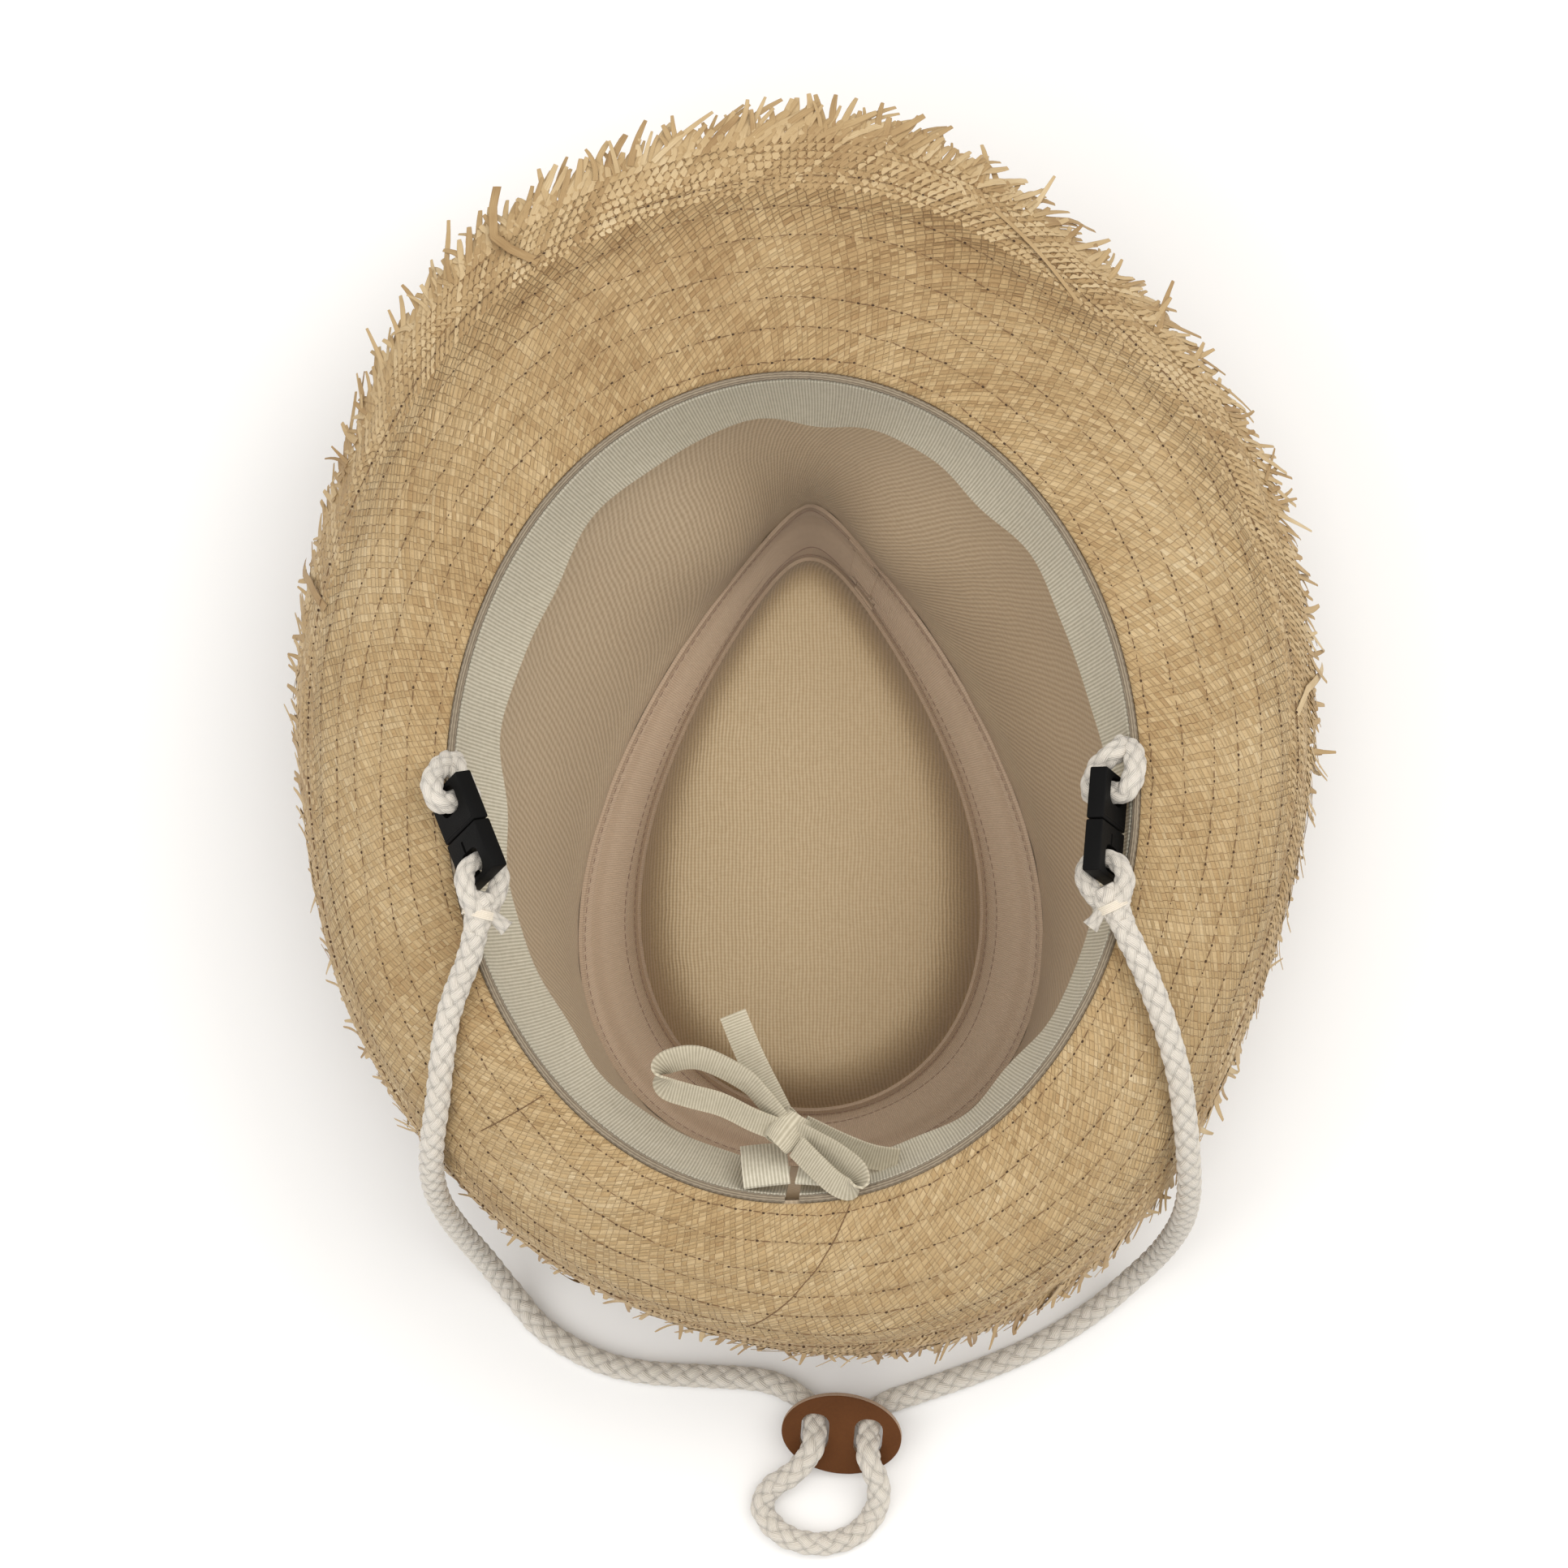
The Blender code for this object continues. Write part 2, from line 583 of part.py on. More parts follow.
def make_eye(side, frame):
    """The cord's eye through the lower clip: a ring of rope, its whipping and the short cut tail."""
    ring_y = CLIP_LENGTH / 2 + EYE_OVERHANG
    aside, _, lift = EYE_KNOTS[side][0]
    steps, sides = 14, 6
    rings = []
    for i in range(steps):
        a = FULL_TURN * i / steps
        out = Vector((0, math.cos(a), math.sin(a)))
        near_knot = (0.5 + 0.5 * math.cos(a)) ** 1.5
        centre = Vector((aside * near_knot, ring_y, lift * near_knot)) + out * EYE_RADIUS
        ring = []
        for k in range(sides):
            b = FULL_TURN * k / sides
            ring.append(centre + ROPE_RADIUS * (out * math.cos(b) + Vector((math.sin(b), 0, 0))))
        rings.append(ring)
    eye = finish(f"cord_eye_{side}", strip_mesh(rings, True), COTTON_COLOUR, 0.85)
    eye.matrix_world = frame
    knot = knot_frame(side, frame)
    whipping = drum(f"whipping_{side}", WHIPPING_RADIUS, WHIPPING_LENGTH, 10)
    whipping.matrix_world = knot @ upright_to_y()
    tail = drum(f"tail_{side}", ROPE_RADIUS, TAIL_LENGTH, 6)
    inward = SIDES[side]
    turn = Matrix.Rotation(math.radians(-TAIL_TURN * inward), 4, "Z")
    tail.matrix_world = knot @ Matrix.Translation((inward * TAIL_LENGTH / 2, 0, 0)) @ turn @ upright_to_y()
    join_to(eye, whipping)
    join_to(eye, tail)


def upright_to_y():
    return Matrix.Rotation(-math.pi / 2, 4, "X")


def drum(name, radius, length, sides):
    bm = bmesh.new()
    bmesh.ops.create_cone(bm, cap_ends=True, segments=sides, radius1=radius, radius2=radius, depth=length)
    return finish(name, bm, COTTON_COLOUR, 0.85)


def make_clips():
    for side, centre, along, across in CLIP_FRAMES:
        frame = clip_matrix(side, centre, along, across)
        make_clip(side, frame, -1)
        make_clip(side, frame, 1)
        make_eye(side, frame)
        make_anchor(side, frame)


def make_anchor(side, frame):
    """The rope loop from the mouth's seam through the upper clip's hole and back."""
    corner = mouth_side(side)
    outside, inside = ([corner + Vector(spot) for spot in strand] for strand in ANCHOR_STRANDS[side])
    way = [frame @ Vector((0, -hole_centre(), out)) for out in ANCHOR_WAY]
    make_rope(f"anchor_loop_{side}", spline_through([*outside, *way, *inside], 2 * ROPE_RADIUS), ROPE_RADIUS)


def cord_route():
    """The chin cord's route with its ends just below each eye's whipping."""
    ends = []
    for side, centre, along, across in CLIP_FRAMES:
        knot = knot_frame(side, clip_matrix(side, centre, along, across))
        ends.append(knot @ Vector((0, WHIPPING_LENGTH / 2 + CORD_CLEARANCE, 0)))
    return [ends[0], *CORD_ROUTE, ends[1]]


def make_chin_cord():
    """The cord's points lie closer together where it bends."""
    fine = spline_through(cord_route(), CORD_DIAMETER / 4)
    kept, reach, turned = [fine[0]], 0.0, 0.0
    for before, here, after in zip(fine, fine[1:], fine[2:]):
        reach += (here - before).length
        turned += (after - here).angle(here - before)
        if reach >= CORD_STEP * CORD_DIAMETER or turned >= math.radians(CORD_TURN):
            kept.append(here)
            reach, turned = 0.0, 0.0
    make_rope("chin_cord", [*kept, fine[-1]], CORD_DIAMETER / 2)


def make_slider():
    """An oval of leather with two slots for the cord, tipped up at the front where the cord lifts it."""
    bm = bmesh.new()
    bmesh.ops.create_cone(bm, cap_ends=True, segments=28, radius1=0.5, radius2=0.5, depth=1.0)
    bmesh.ops.scale(bm, vec=(SLIDER_LENGTH, SLIDER_HEIGHT, SLIDER_THICKNESS), verts=bm.verts)
    slider = finish("slider", bm, LEATHER_COLOUR, 0.5, 30)
    tilt = Matrix.Rotation(math.radians(SLIDER_TILT), 4, "X")
    turn = Matrix.Rotation(math.radians(SLIDER_TURN), 4, "Z")
    slider.matrix_world = Matrix.Translation(SLIDER_PLACE) @ turn @ tilt
    for k in (-1, 1):
        size = (SLOT_WIDTH, SLOT_LENGTH, 4 * SLIDER_THICKNESS)
        slot = block(f"slot_{k + 1}", size, LEATHER_COLOUR, (k * SLOT_SPACING / 2, 0, 0), SLOT_WIDTH * 0.24)
        slot.matrix_world = slider.matrix_world
        cut(slider, slot)


def make_ribbon(name, points, across):
    """A flat ribbon along a path, with its width always along the same direction."""
    path = spline_through(points, RIBBON_WIDTH * 0.6)
    across = Vector(across).normalized()
    profiles = []
    for i, point in enumerate(path):
        forward = (path[min(i + 1, len(path) - 1)] - path[max(i - 1, 0)]).normalized()
        flat = (across - forward * across.dot(forward)).normalized()
        lift = forward.cross(flat) * RIBBON_THICKNESS / 2
        half = flat * RIBBON_WIDTH / 2
        profiles.append([point + half + lift, point - half + lift, point - half - lift, point + half - lift])
    return finish(name, strip_mesh(profiles, False), BAND_COLOUR, 0.75, 50)


def make_bow():
    """The bow at the back: a knot, two loops and two tails, one of which runs to the sweatband."""
    knot = block("bow_knot", KNOT_SIZE, BAND_COLOUR, (0, 0, 0), KNOT_EDGE)
    place = Vector((0, -HEAD_LENGTH / 2, CROWN_HEIGHT)) + Vector(KNOT_OFFSET)
    knot.matrix_world = Matrix.Translation(place) @ Matrix.Rotation(math.radians(KNOT_TURN), 4, "Z")

    def near_knot(*offsets):
        return [place + Vector(offset) for offset in offsets]

    make_ribbon("bow_loop_left", near_knot(
        (-0.0027, 0.0043, 0.0010), (-0.0104, 0.0118, 0.0012), (-0.0210, 0.0170, 0.0012),
        (-0.0290, 0.0160, 0.0010), (-0.0310, 0.0120, 0.0008), (-0.0270, 0.0085, 0.0006),
        (-0.0170, 0.0066, 0.0004), (-0.0072, 0.0012, 0.0004),
    ), (0.0, 0.80, 0.60))
    make_ribbon("bow_loop_right", near_knot(
        (0.0043, -0.0018, 0.0026), (0.0110, -0.0054, 0.0040), (0.0175, -0.0105, 0.0052),
        (0.0170, -0.0150, 0.0058), (0.0110, -0.0122, 0.0056), (0.0042, -0.0064, 0.0042),
    ), (0.62, 0.50, 0.60))
    make_ribbon("bow_tail_long", near_knot(
        (-0.0010, 0.0016, -0.0042), (-0.0046, 0.0084, -0.0060), (-0.0080, 0.0150, -0.0070),
        (-0.0110, 0.0215, -0.0072), (-0.0138, 0.0285, -0.0070),
    ), (0.88, 0.46, 0.0))
    make_ribbon("bow_tail_short", near_knot(
        (0.0052, 0.0004, -0.0024), (0.0120, -0.0032, -0.0058), (0.0196, -0.0058, -0.0078),
        (0.0256, -0.0062, -0.0086),
    ), (0.30, 0.80, 0.50))


def stand_on_origin():
    """Put the middle of the hat's box over the origin, and its lowest point at the floor."""
    bpy.context.view_layer.update()
    depsgraph = bpy.context.evaluated_depsgraph_get()
    corners = []
    for name in ("crown_side", "crown_tip", "brim"):
        shown = bpy.data.objects[name].evaluated_get(depsgraph)
        corners += [vert.co for vert in shown.data.vertices]
    middle = [(min(co[k] for co in corners) + max(co[k] for co in corners)) / 2 for k in (0, 1)]
    hat = bpy.data.objects.new("hat", None)
    bpy.context.scene.collection.objects.link(hat)
    for item in bpy.data.objects:
        if item is not hat:
            item.parent = hat
    hat.location = (-middle[0], -middle[1], 0)


def main():
    clear_scene()
    make_crown()
    make_sweatband()
    make_brim()
    make_bow()
    make_clips()
    make_chin_cord()
    make_slider()
    stand_on_origin()


main()
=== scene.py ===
"""Straw fedora with a chin cord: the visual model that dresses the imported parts.

Metres, +Z up. The hat lies on its crown with its opening up and its front towards +Y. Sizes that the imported
parts also have are repeated here, because this file reads nothing but the frame.
"""

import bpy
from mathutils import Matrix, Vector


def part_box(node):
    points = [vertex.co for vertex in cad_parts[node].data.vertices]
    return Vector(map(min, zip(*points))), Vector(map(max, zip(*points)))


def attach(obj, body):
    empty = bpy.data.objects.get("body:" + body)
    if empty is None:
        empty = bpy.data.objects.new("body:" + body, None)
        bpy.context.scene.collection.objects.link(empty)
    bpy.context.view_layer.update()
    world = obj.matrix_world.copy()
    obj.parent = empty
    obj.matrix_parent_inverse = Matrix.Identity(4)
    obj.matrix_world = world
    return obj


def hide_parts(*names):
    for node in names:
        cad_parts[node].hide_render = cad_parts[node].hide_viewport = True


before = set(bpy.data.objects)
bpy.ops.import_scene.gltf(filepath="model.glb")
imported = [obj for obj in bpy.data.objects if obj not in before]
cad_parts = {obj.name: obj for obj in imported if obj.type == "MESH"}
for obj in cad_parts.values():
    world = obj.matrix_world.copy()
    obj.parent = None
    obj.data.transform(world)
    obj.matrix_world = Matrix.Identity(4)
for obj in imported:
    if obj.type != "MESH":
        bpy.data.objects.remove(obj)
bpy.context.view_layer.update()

import logging
import math
import random
from dataclasses import dataclass
from enum import Enum
from typing import Callable, Iterable, Sequence

import bpy
import numpy as np
from mathutils import Matrix, Vector

LOG = logging.getLogger("straw_fedora")
FULL_TURN = 2 * math.pi
Array = np.ndarray
Piece = bpy.types.Object
Material = bpy.types.Material
Triple = tuple[float, float, float]
Colour = Triple
Shape = Callable[[Array, Array], Array]
EdgeTest = Callable[[bpy.types.MeshEdge, bpy.types.Mesh], bool]


# Curves, directions and frames


def unit(vectors: Array) -> Array:
    """Give the same directions at length one."""
    return vectors / np.linalg.norm(vectors, axis=-1, keepdims=True)


def reach_along(path: Array) -> Array:
    """Give how far along a path each of its points lies."""
    return np.concatenate([[0], np.cumsum(np.linalg.norm(np.diff(path, axis=0), axis=1))])


def spline(a: Array, b: Array, c: Array, d: Array, u: Array) -> Array:
    """Read the smooth curve from b to c at a share of the way, led by the points before and after them."""
    return b + 0.5 * u * (c - a + u * (2 * a - 5 * b + 4 * c - d + u * (3 * (b - c) + d - a)))


def frame_at(spot: Sequence[float], x: Vector, y: Vector, z: Vector) -> Matrix:
    """Give the frame at a spot that has these three axes."""
    return Matrix.Translation(spot) @ Matrix((x, y, z)).transposed().to_4x4()


def stitch_frames(spots: Array, ahead: Array, above: Array) -> list[Matrix]:
    """Give a frame for each stitch of a seam.

    Args:
        spots: the stitches' middles.
        ahead: for each, the way that the seam runs.
        above: for each, the way off the cloth.

    Returns:
        Frames with X along the seam and Z off the cloth.
    """
    frames = []
    for spot, along, up in zip(spots, ahead, above):
        x = Vector(along).normalized()
        y = Vector(up).normalized().cross(x)
        frames.append(frame_at(spot, x, y, x.cross(y)))
    return frames


def chart_of(along: float, across: float) -> Shape:
    """Give a chart in metres for a piece of this length and width."""
    return lambda a, b: np.stack([a * along, b * across], axis=-1)


# The measured form of the hat


def soft_curve(values: Sequence[float], count: int) -> Array:
    """Sample a smooth curve through evenly spaced values that never overshoots them.

    Args:
        values: the curve's heights at whole rows.
        count: samples to each row.

    Returns:
        The sampled heights, row by row.
    """
    steps = np.diff(values)
    slopes = [steps[0]]
    for before, after in zip(steps, steps[1:]):
        slopes.append(2 * before * after / (before + after) if before * after > 0 else 0.0)
    slopes.append(steps[-1])
    result = []
    for i, rise in enumerate(steps):
        u = np.arange(count) / count
        bend = slopes[i] * (u - 2 * u ** 2 + u ** 3) + slopes[i + 1] * (u ** 3 - u ** 2)
        result.append(values[i] + rise * (3 * u ** 2 - 2 * u ** 3) + bend)
    return np.concatenate([*result, [values[-1]]])


def ring_curve(values: Sequence[float], angle: Array) -> Array:
    """Read a smooth periodic curve through values spaced evenly round the hat.

    Args:
        values: one value for each even part of the turn.
        angle: where to read it, in radians clockwise from the front.

    Returns:
        The values there.
    """
    table = np.asarray(values, dtype=float)
    count = len(table)
    place = np.asarray(angle) / FULL_TURN * count
    i = np.floor(place).astype(int)
    u = place - i
    a, b, c, d = (table[(i + k) % count] for k in (-1, 0, 1, 2))
    return spline(a, b, c, d, u)


@dataclass(frozen=True)
class HatForm:
    """The hat's measured surfaces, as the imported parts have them."""

    head_width: float = 0.166
    head_length: float = 0.200
    crown_height: float = 0.110
    ridge_width: float = 0.126
    ridge_length: float = 0.179
    ridge_band: float = 0.022
    ridge_radius: float = 0.006
    ridge_shift: float = -0.002
    tip_roundness: float = 0.11
    dent_depth: float = 0.026
    dent_run: float = 0.0095
    pinch_depth: float = 0.006
    pinch_turn: float = 34
    pinch_spread: float = 15
    pinch_row: float = 3.1
    pinch_rows: float = 1.2
    widest_turn: float = 104
    straw: float = 0.0014
    lining: float = 0.0010
    band: float = 0.0012
    gap: float = 0.0003
    piping: float = 0.0009
    brim_length: float = 0.062
    brim_wave: float = 0.0012
    row_start: float = 0.0026
    row_apart: float = 0.0076
    band_height: float = 0.025
    tape_width: float = 0.0165
    seam_row: float = 8.0
    last_row: float = 16.0
    samples: int = 64

    @property
    def shift(self) -> Array:
        """The middle of the head opening in the row frame."""
        low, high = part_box("crown_side")
        return np.array([(low[0] + high[0]) / 2, (low[1] + high[1]) / 2, 0.0])

    def section(self, row: Array) -> tuple[Array, Array, Array]:
        """Read the crown's section, from the mouth over the ridge to the dent's middle.

        Args:
            row: where to read it; whole numbers are the rows of the tables.

        Returns:
            The height, the share of the way from the mouth's outline to the ridge's, and the inset from that.
        """
        wall = ((1.00, 0.00), (0.80, 0.10), (0.55, 0.34), (0.30, 0.67), (0.12, 0.91))
        turn = (
            (1.00, 0.00), (0.29, 0.08), (0.00, 0.27), (0.00, 0.50), (0.00, 0.68), (0.27, 0.86), (1.00, 0.98),
        )
        dent = ((0.54, 0.16), (0.81, 0.47), (0.96, 0.95))
        floor = ((1.00, 0.67), (1.02, 0.86))
        rows = [(high * self.crown_height, taper, 0.0) for high, taper in wall]
        rows += [(high * self.ridge_radius, 1.0, inset * self.ridge_band) for high, inset in turn]
        rows += [(high * self.dent_depth, 1.0, self.ridge_band + run * self.dent_run) for high, run in dent]
        rows += [(high * self.dent_depth, 1.0, inset * self.ridge_width / 2) for high, inset in floor]
        at = np.asarray(row) * self.samples
        ticks = np.arange(self.last_row * self.samples + 1)
        curves = (soft_curve(column, self.samples) for column in zip(*rows))
        height, taper, inset = (np.interp(at, ticks, curve) for curve in curves)
        return height, taper, inset

    def teardrop(self, turn: Array) -> Array:
        """Give the width share of the ridge's teardrop outline.

        Args:
            turn: radians clockwise from the front.

        Returns:
            The share, one where the outline is widest.
        """
        widest = math.radians(self.widest_turn)
        peak = math.sin(widest) * math.sqrt(math.sin(widest / 2) ** 2 + self.tip_roundness)
        return np.sin(turn) * np.sqrt(np.sin(turn / 2) ** 2 + self.tip_roundness) / peak

    def crown_face(self, turn: Array, row: Array) -> Array:
        """Give points of the straw's outer face, from the mouth to the dent's centre.

        Args:
            turn: radians clockwise from the front.
            row: the section's row.

        Returns:
            One point for each entry.
        """
        turn, row = np.broadcast_arrays(np.asarray(turn, float), np.asarray(row, float))
        height, taper, inset = self.section(row)
        stack = self.straw + self.lining + 2 * self.gap
        mouth_x = (self.head_width / 2 + stack) * np.sin(turn)
        mouth_y = (self.head_length / 2 + stack) * np.cos(turn)
        ridge_x = (self.ridge_width / 2 - inset) * self.teardrop(turn)
        ridge_y = self.ridge_shift + (self.ridge_length / 2 - 0.95 * inset) * np.cos(turn)
        x = mouth_x + (ridge_x - mouth_x) * taper
        y = mouth_y + (ridge_y - mouth_y) * taper
        off = np.abs(np.degrees(np.arctan2(np.sin(turn), np.cos(turn)))) - self.pinch_turn
        near = np.exp(-(off / self.pinch_spread) ** 2 - ((row - self.pinch_row) / self.pinch_rows) ** 2)
        pinch = near * self.pinch_depth * (row < self.seam_row)
        x = x - pinch * np.sign(np.sin(turn)) * math.sqrt(0.5)
        y = y - pinch * math.sqrt(0.5)
        return np.stack([x, y, height], axis=-1) + self.shift

    def crown(self, turn: Array, row: Array, depth: Array | float) -> Array:
        """Give points at a depth below the straw's outer face, towards the inside of the hat.

        Args:
            turn: radians clockwise from the front.
            row: the section's row.
            depth: metres below the face.

        Returns:
            One point for each entry.
        """
        turn, row = np.broadcast_arrays(np.asarray(turn, float), np.asarray(row, float))
        along = self.crown_face(turn + 0.01, row) - self.crown_face(turn - 0.01, row)
        low, high = np.maximum(row - 0.02, 0), np.minimum(row + 0.02, self.last_row)
        down = self.crown_face(turn, high) - self.crown_face(turn, low)
        return self.crown_face(turn, row) - unit(np.cross(along, down)) * np.asarray(depth)[..., None]

    def row_below_mouth(self, drop: Array | float) -> Array:
        """Give the row that lies a drop below the mouth.

        Args:
            drop: metres below the mouth.

        Returns:
            The row.
        """
        rows = np.linspace(0, 4, 800)
        heights = self.crown_height - self.section(rows)[0]
        return np.interp(drop, heights, rows)

    def row_at_inset(self, inset: float) -> float:
        """Give the row on the ridge that lies an inset in from its outer edge."""
        rows = np.linspace(5.0, 11.0, 1200)
        return float(np.interp(inset, self.section(rows)[2], rows))

    def seam(self, side: int) -> float:
        """Give the row where the wall's side (-1) or the tip's side (1) of the ridge's seam begins."""
        return self.row_at_inset(0.50 * self.ridge_band + side * self.gap / 2)

    def mouth(self, turn: Array) -> tuple[Array, Array]:
        """Give the opening's edge and the level direction away from the crown.

        Args:
            turn: radians clockwise from the front.

        Returns:
            The edge's points and a direction for each.
        """
        half_x, half_y = self.head_width / 2, self.head_length / 2
        height = np.full_like(turn, self.crown_height)
        point = np.stack([half_x * np.sin(turn), half_y * np.cos(turn), height], axis=-1) + self.shift
        out = np.stack([np.sin(turn) / half_x, np.cos(turn) / half_y, np.zeros_like(turn)], axis=-1)
        return point, unit(out)

    def brim(self, turn: Array, share: Array, lift: Array | float) -> Array:
        """Give points of the brim at a share of its length, lifted off its middle face.

        Args:
            turn: radians clockwise from the front.
            share: nothing at the crown, one at the rim.
            lift: metres off the middle face, up.

        Returns:
            One point for each entry.
        """
        curl = (
            (-5, 15), (0, 44), (4, 58), (10, 80), (12, 86), (12, 81),
            (15, 89), (18, 93), (15, 88), (10, 80), (5, 64), (-3, 25),
        )
        turn, share, lift = np.broadcast_arrays(*(np.asarray(v, float) for v in (turn, share, lift)))
        start, end = (np.radians(ring_curve([row[k] for row in curl], turn)) for k in (0, 1))
        length = self.brim_length + self.brim_wave * (np.sin(5 * turn + 0.7) + 0.6 * np.sin(9 * turn))
        slope = start + (end - start) * share
        bend = (end - start) / length
        run = (np.sin(slope) - np.sin(start)) / bend
        drop = (np.cos(start) - np.cos(slope)) / bend
        centre, out = self.mouth(turn)
        place = centre + out * (self.piping + self.gap + run + lift * np.sin(slope))[..., None]
        place[..., 2] += lift * np.cos(slope) - drop
        return place


FORM = HatForm()


# Shader maths


def operator(operation: str, reflected: bool = False) -> Callable[["Wire", "Wire | float"], "Wire"]:
    """Give the method that adds one Math node for two numbers.

    Args:
        operation: the node's operation.
        reflected: whether the other number comes first.

    Returns:
        The method.
    """
    def method(self: "Wire", other: "Wire | float") -> "Wire":
        """Add the node."""
        first, second = (other, self) if reflected else (self, other)
        return self.board.math(operation, first, second)
    return method


class Wire:
    """A socket of a material's nodes, on which plain sums can be written."""

    def __init__(self, board: "Board", socket: bpy.types.NodeSocket) -> None:
        """Wrap an output socket."""
        self.board = board
        self.socket = socket

    __add__ = operator("ADD")
    __radd__ = operator("ADD", True)
    __sub__ = operator("SUBTRACT")
    __rsub__ = operator("SUBTRACT", True)
    __mul__ = operator("MULTIPLY")
    __rmul__ = operator("MULTIPLY", True)
    __truediv__ = operator("DIVIDE")
    __pow__ = operator("POWER")

    def floor(self) -> "Wire":
        """Round down."""
        return self.board.math("FLOOR", self)

    def fract(self) -> "Wire":
        """Keep what is past the whole number."""
        return self.board.math("FRACT", self)

    def size(self) -> "Wire":
        """Drop the sign."""
        return self.board.math("ABSOLUTE", self)

    def wave(self) -> "Wire":
        """Take the sine."""
        return self.board.math("SINE", self)

    def above(self, limit: float) -> "Wire":
        """Give one above a limit and nothing below it."""
        return self.board.math("GREATER_THAN", self, limit)

    def eased(self, low: float, high: float) -> "Wire":
        """Rise smoothly from nothing at low to one at high."""
        inputs = {"Value": self, "From Min": low, "From Max": high}
        return self.board.node("ShaderNodeMapRange", {"interpolation_type": "SMOOTHSTEP"}, inputs)

    def off_middle(self) -> "Wire":
        """Give the distance from a strand's middle, one at its sides; whole numbers count the strands."""
        return (self.fract() - 0.5).size() * 2

    def swing(self) -> "Wire":
        """Give a wave between nothing and one for each whole number."""
        return (self * FULL_TURN).wave() * 0.5 + 0.5

    def odd(self) -> "Wire":
        """Give one for an odd whole number and nothing for an even one."""
        return (self * 0.5).fract().above(0.25)

    def choose(self, first: "Wire", second: "Wire") -> "Wire":
        """Give the first where this is nothing and the second where it is one."""
        return first + (second - first) * self


class Board:
    """One material's nodes, added by their type, settings and inputs."""

    def __init__(self, name: str) -> None:
        """Start an empty material under a name.

        Args:
            name: the finish's name.
        """
        self.material = bpy.data.materials.new(name)
        self.material.use_nodes = True
        self.tree = self.material.node_tree
        self.tree.nodes.clear()

    def node(self, kind: str, settings: dict, inputs: dict, output: str | int = 0) -> Wire:
        """Add a node, set it up and link it.

        Args:
            kind: the node's type.
            settings: its properties, set before its inputs.
            inputs: values or wires by socket name or index.
            output: the socket to give back.

        Returns:
            The chosen output.
        """
        item = self.tree.nodes.new(kind)
        for key, value in settings.items():
            if key == "stops":
                self._set_stops(item, value)
            else:
                setattr(item, key, value)
        for key, value in inputs.items():
            socket = item.inputs[key]
            if isinstance(value, Wire):
                self.tree.links.new(value.socket, socket)
            else:
                socket.default_value = value
        return Wire(self, item.outputs[output])

    @staticmethod
    def _set_stops(item: bpy.types.Node, stops: Sequence[tuple[float, Colour]]) -> None:
        """Fill a colour ramp with its stops.

        Args:
            item: the colour ramp's node.
            stops: places on the ramp, each with its colour.
        """
        points = item.color_ramp.elements
        while len(points) < len(stops):
            points.new(0.5)
        for point, (place, colour) in zip(points, stops):
            point.position = place
            point.color = (*colour, 1.0)

    def math(self, operation: str, first: "Wire | float", second: "Wire | float" = 0.0) -> Wire:
        """Add one Math node."""
        return self.node("ShaderNodeMath", {"operation": operation}, {0: first, 1: second})

    def uv(self) -> tuple[Wire, Wire]:
        """Give the piece's own two surface coordinates."""
        place = self.node("ShaderNodeTexCoord", {}, {}, "UV")
        return self.part(place, 0), self.part(place, 1)

    def part(self, place: Wire, axis: int) -> Wire:
        """Give one coordinate of a place."""
        return self.node("ShaderNodeSeparateXYZ", {}, {0: place}, axis)

    def place(self) -> Wire:
        """Give the place in the piece's own frame."""
        return self.node("ShaderNodeTexCoord", {}, {}, "Object")

    def join(self, x: "Wire | float", y: "Wire | float", z: "Wire | float" = 0.0) -> Wire:
        """Make a vector of three numbers."""
        return self.node("ShaderNodeCombineXYZ", {}, {0: x, 1: y, 2: z})

    def noise(self, where: Wire, scale: float, detail: float = 2.0) -> Wire:
        """Give smooth noise from nothing to one."""
        return self.node("ShaderNodeTexNoise", {}, {"Vector": where, "Scale": scale, "Detail": detail}, "Fac")

    def chance(self, number: Wire, other: "Wire | float" = 0.0) -> Wire:
        """Give one random number for each whole pair of numbers."""
        where = self.join(number, other)
        return self.node("ShaderNodeTexWhiteNoise", {"noise_dimensions": "2D"}, {"Vector": where}, "Value")

    def ramp(self, along: Wire, stops: Sequence[tuple[float, Colour]]) -> Wire:
        """Read a colour from a row of stops."""
        return self.node("ShaderNodeValToRGB", {"stops": stops}, {0: along}, "Color")

    def blend(self, share: "Wire | float", first: "Wire | Colour", second: "Wire | Colour",
              way: str = "MIX") -> Wire:
        """Mix two colours.

        Args:
            share: how much of the second shows.
            first: the colour below.
            second: the colour above.
            way: the Mix node's blend type.

        Returns:
            The mixed colour.
        """
        settings = {"data_type": "RGBA", "blend_type": way, "clamp_factor": True}
        colours = [c if isinstance(c, Wire) else (*c, 1.0) for c in (first, second)]
        return self.node("ShaderNodeMix", settings, {0: share, 6: colours[0], 7: colours[1]}, 2)

    def shade(self, colour: Wire, amount: Wire) -> Wire:
        """Multiply a colour by a grey amount."""
        grey = self.node("ShaderNodeCombineColor", {}, {0: amount, 1: amount, 2: amount})
        return self.blend(1.0, colour, grey, "MULTIPLY")

    def bump(self, height: Wire, depth: float, strength: float = 1.0) -> Wire:
        """Turn a height from nothing to one into a normal."""
        return self.node("ShaderNodeBump", {}, {"Strength": strength, "Distance": depth, "Height": height})

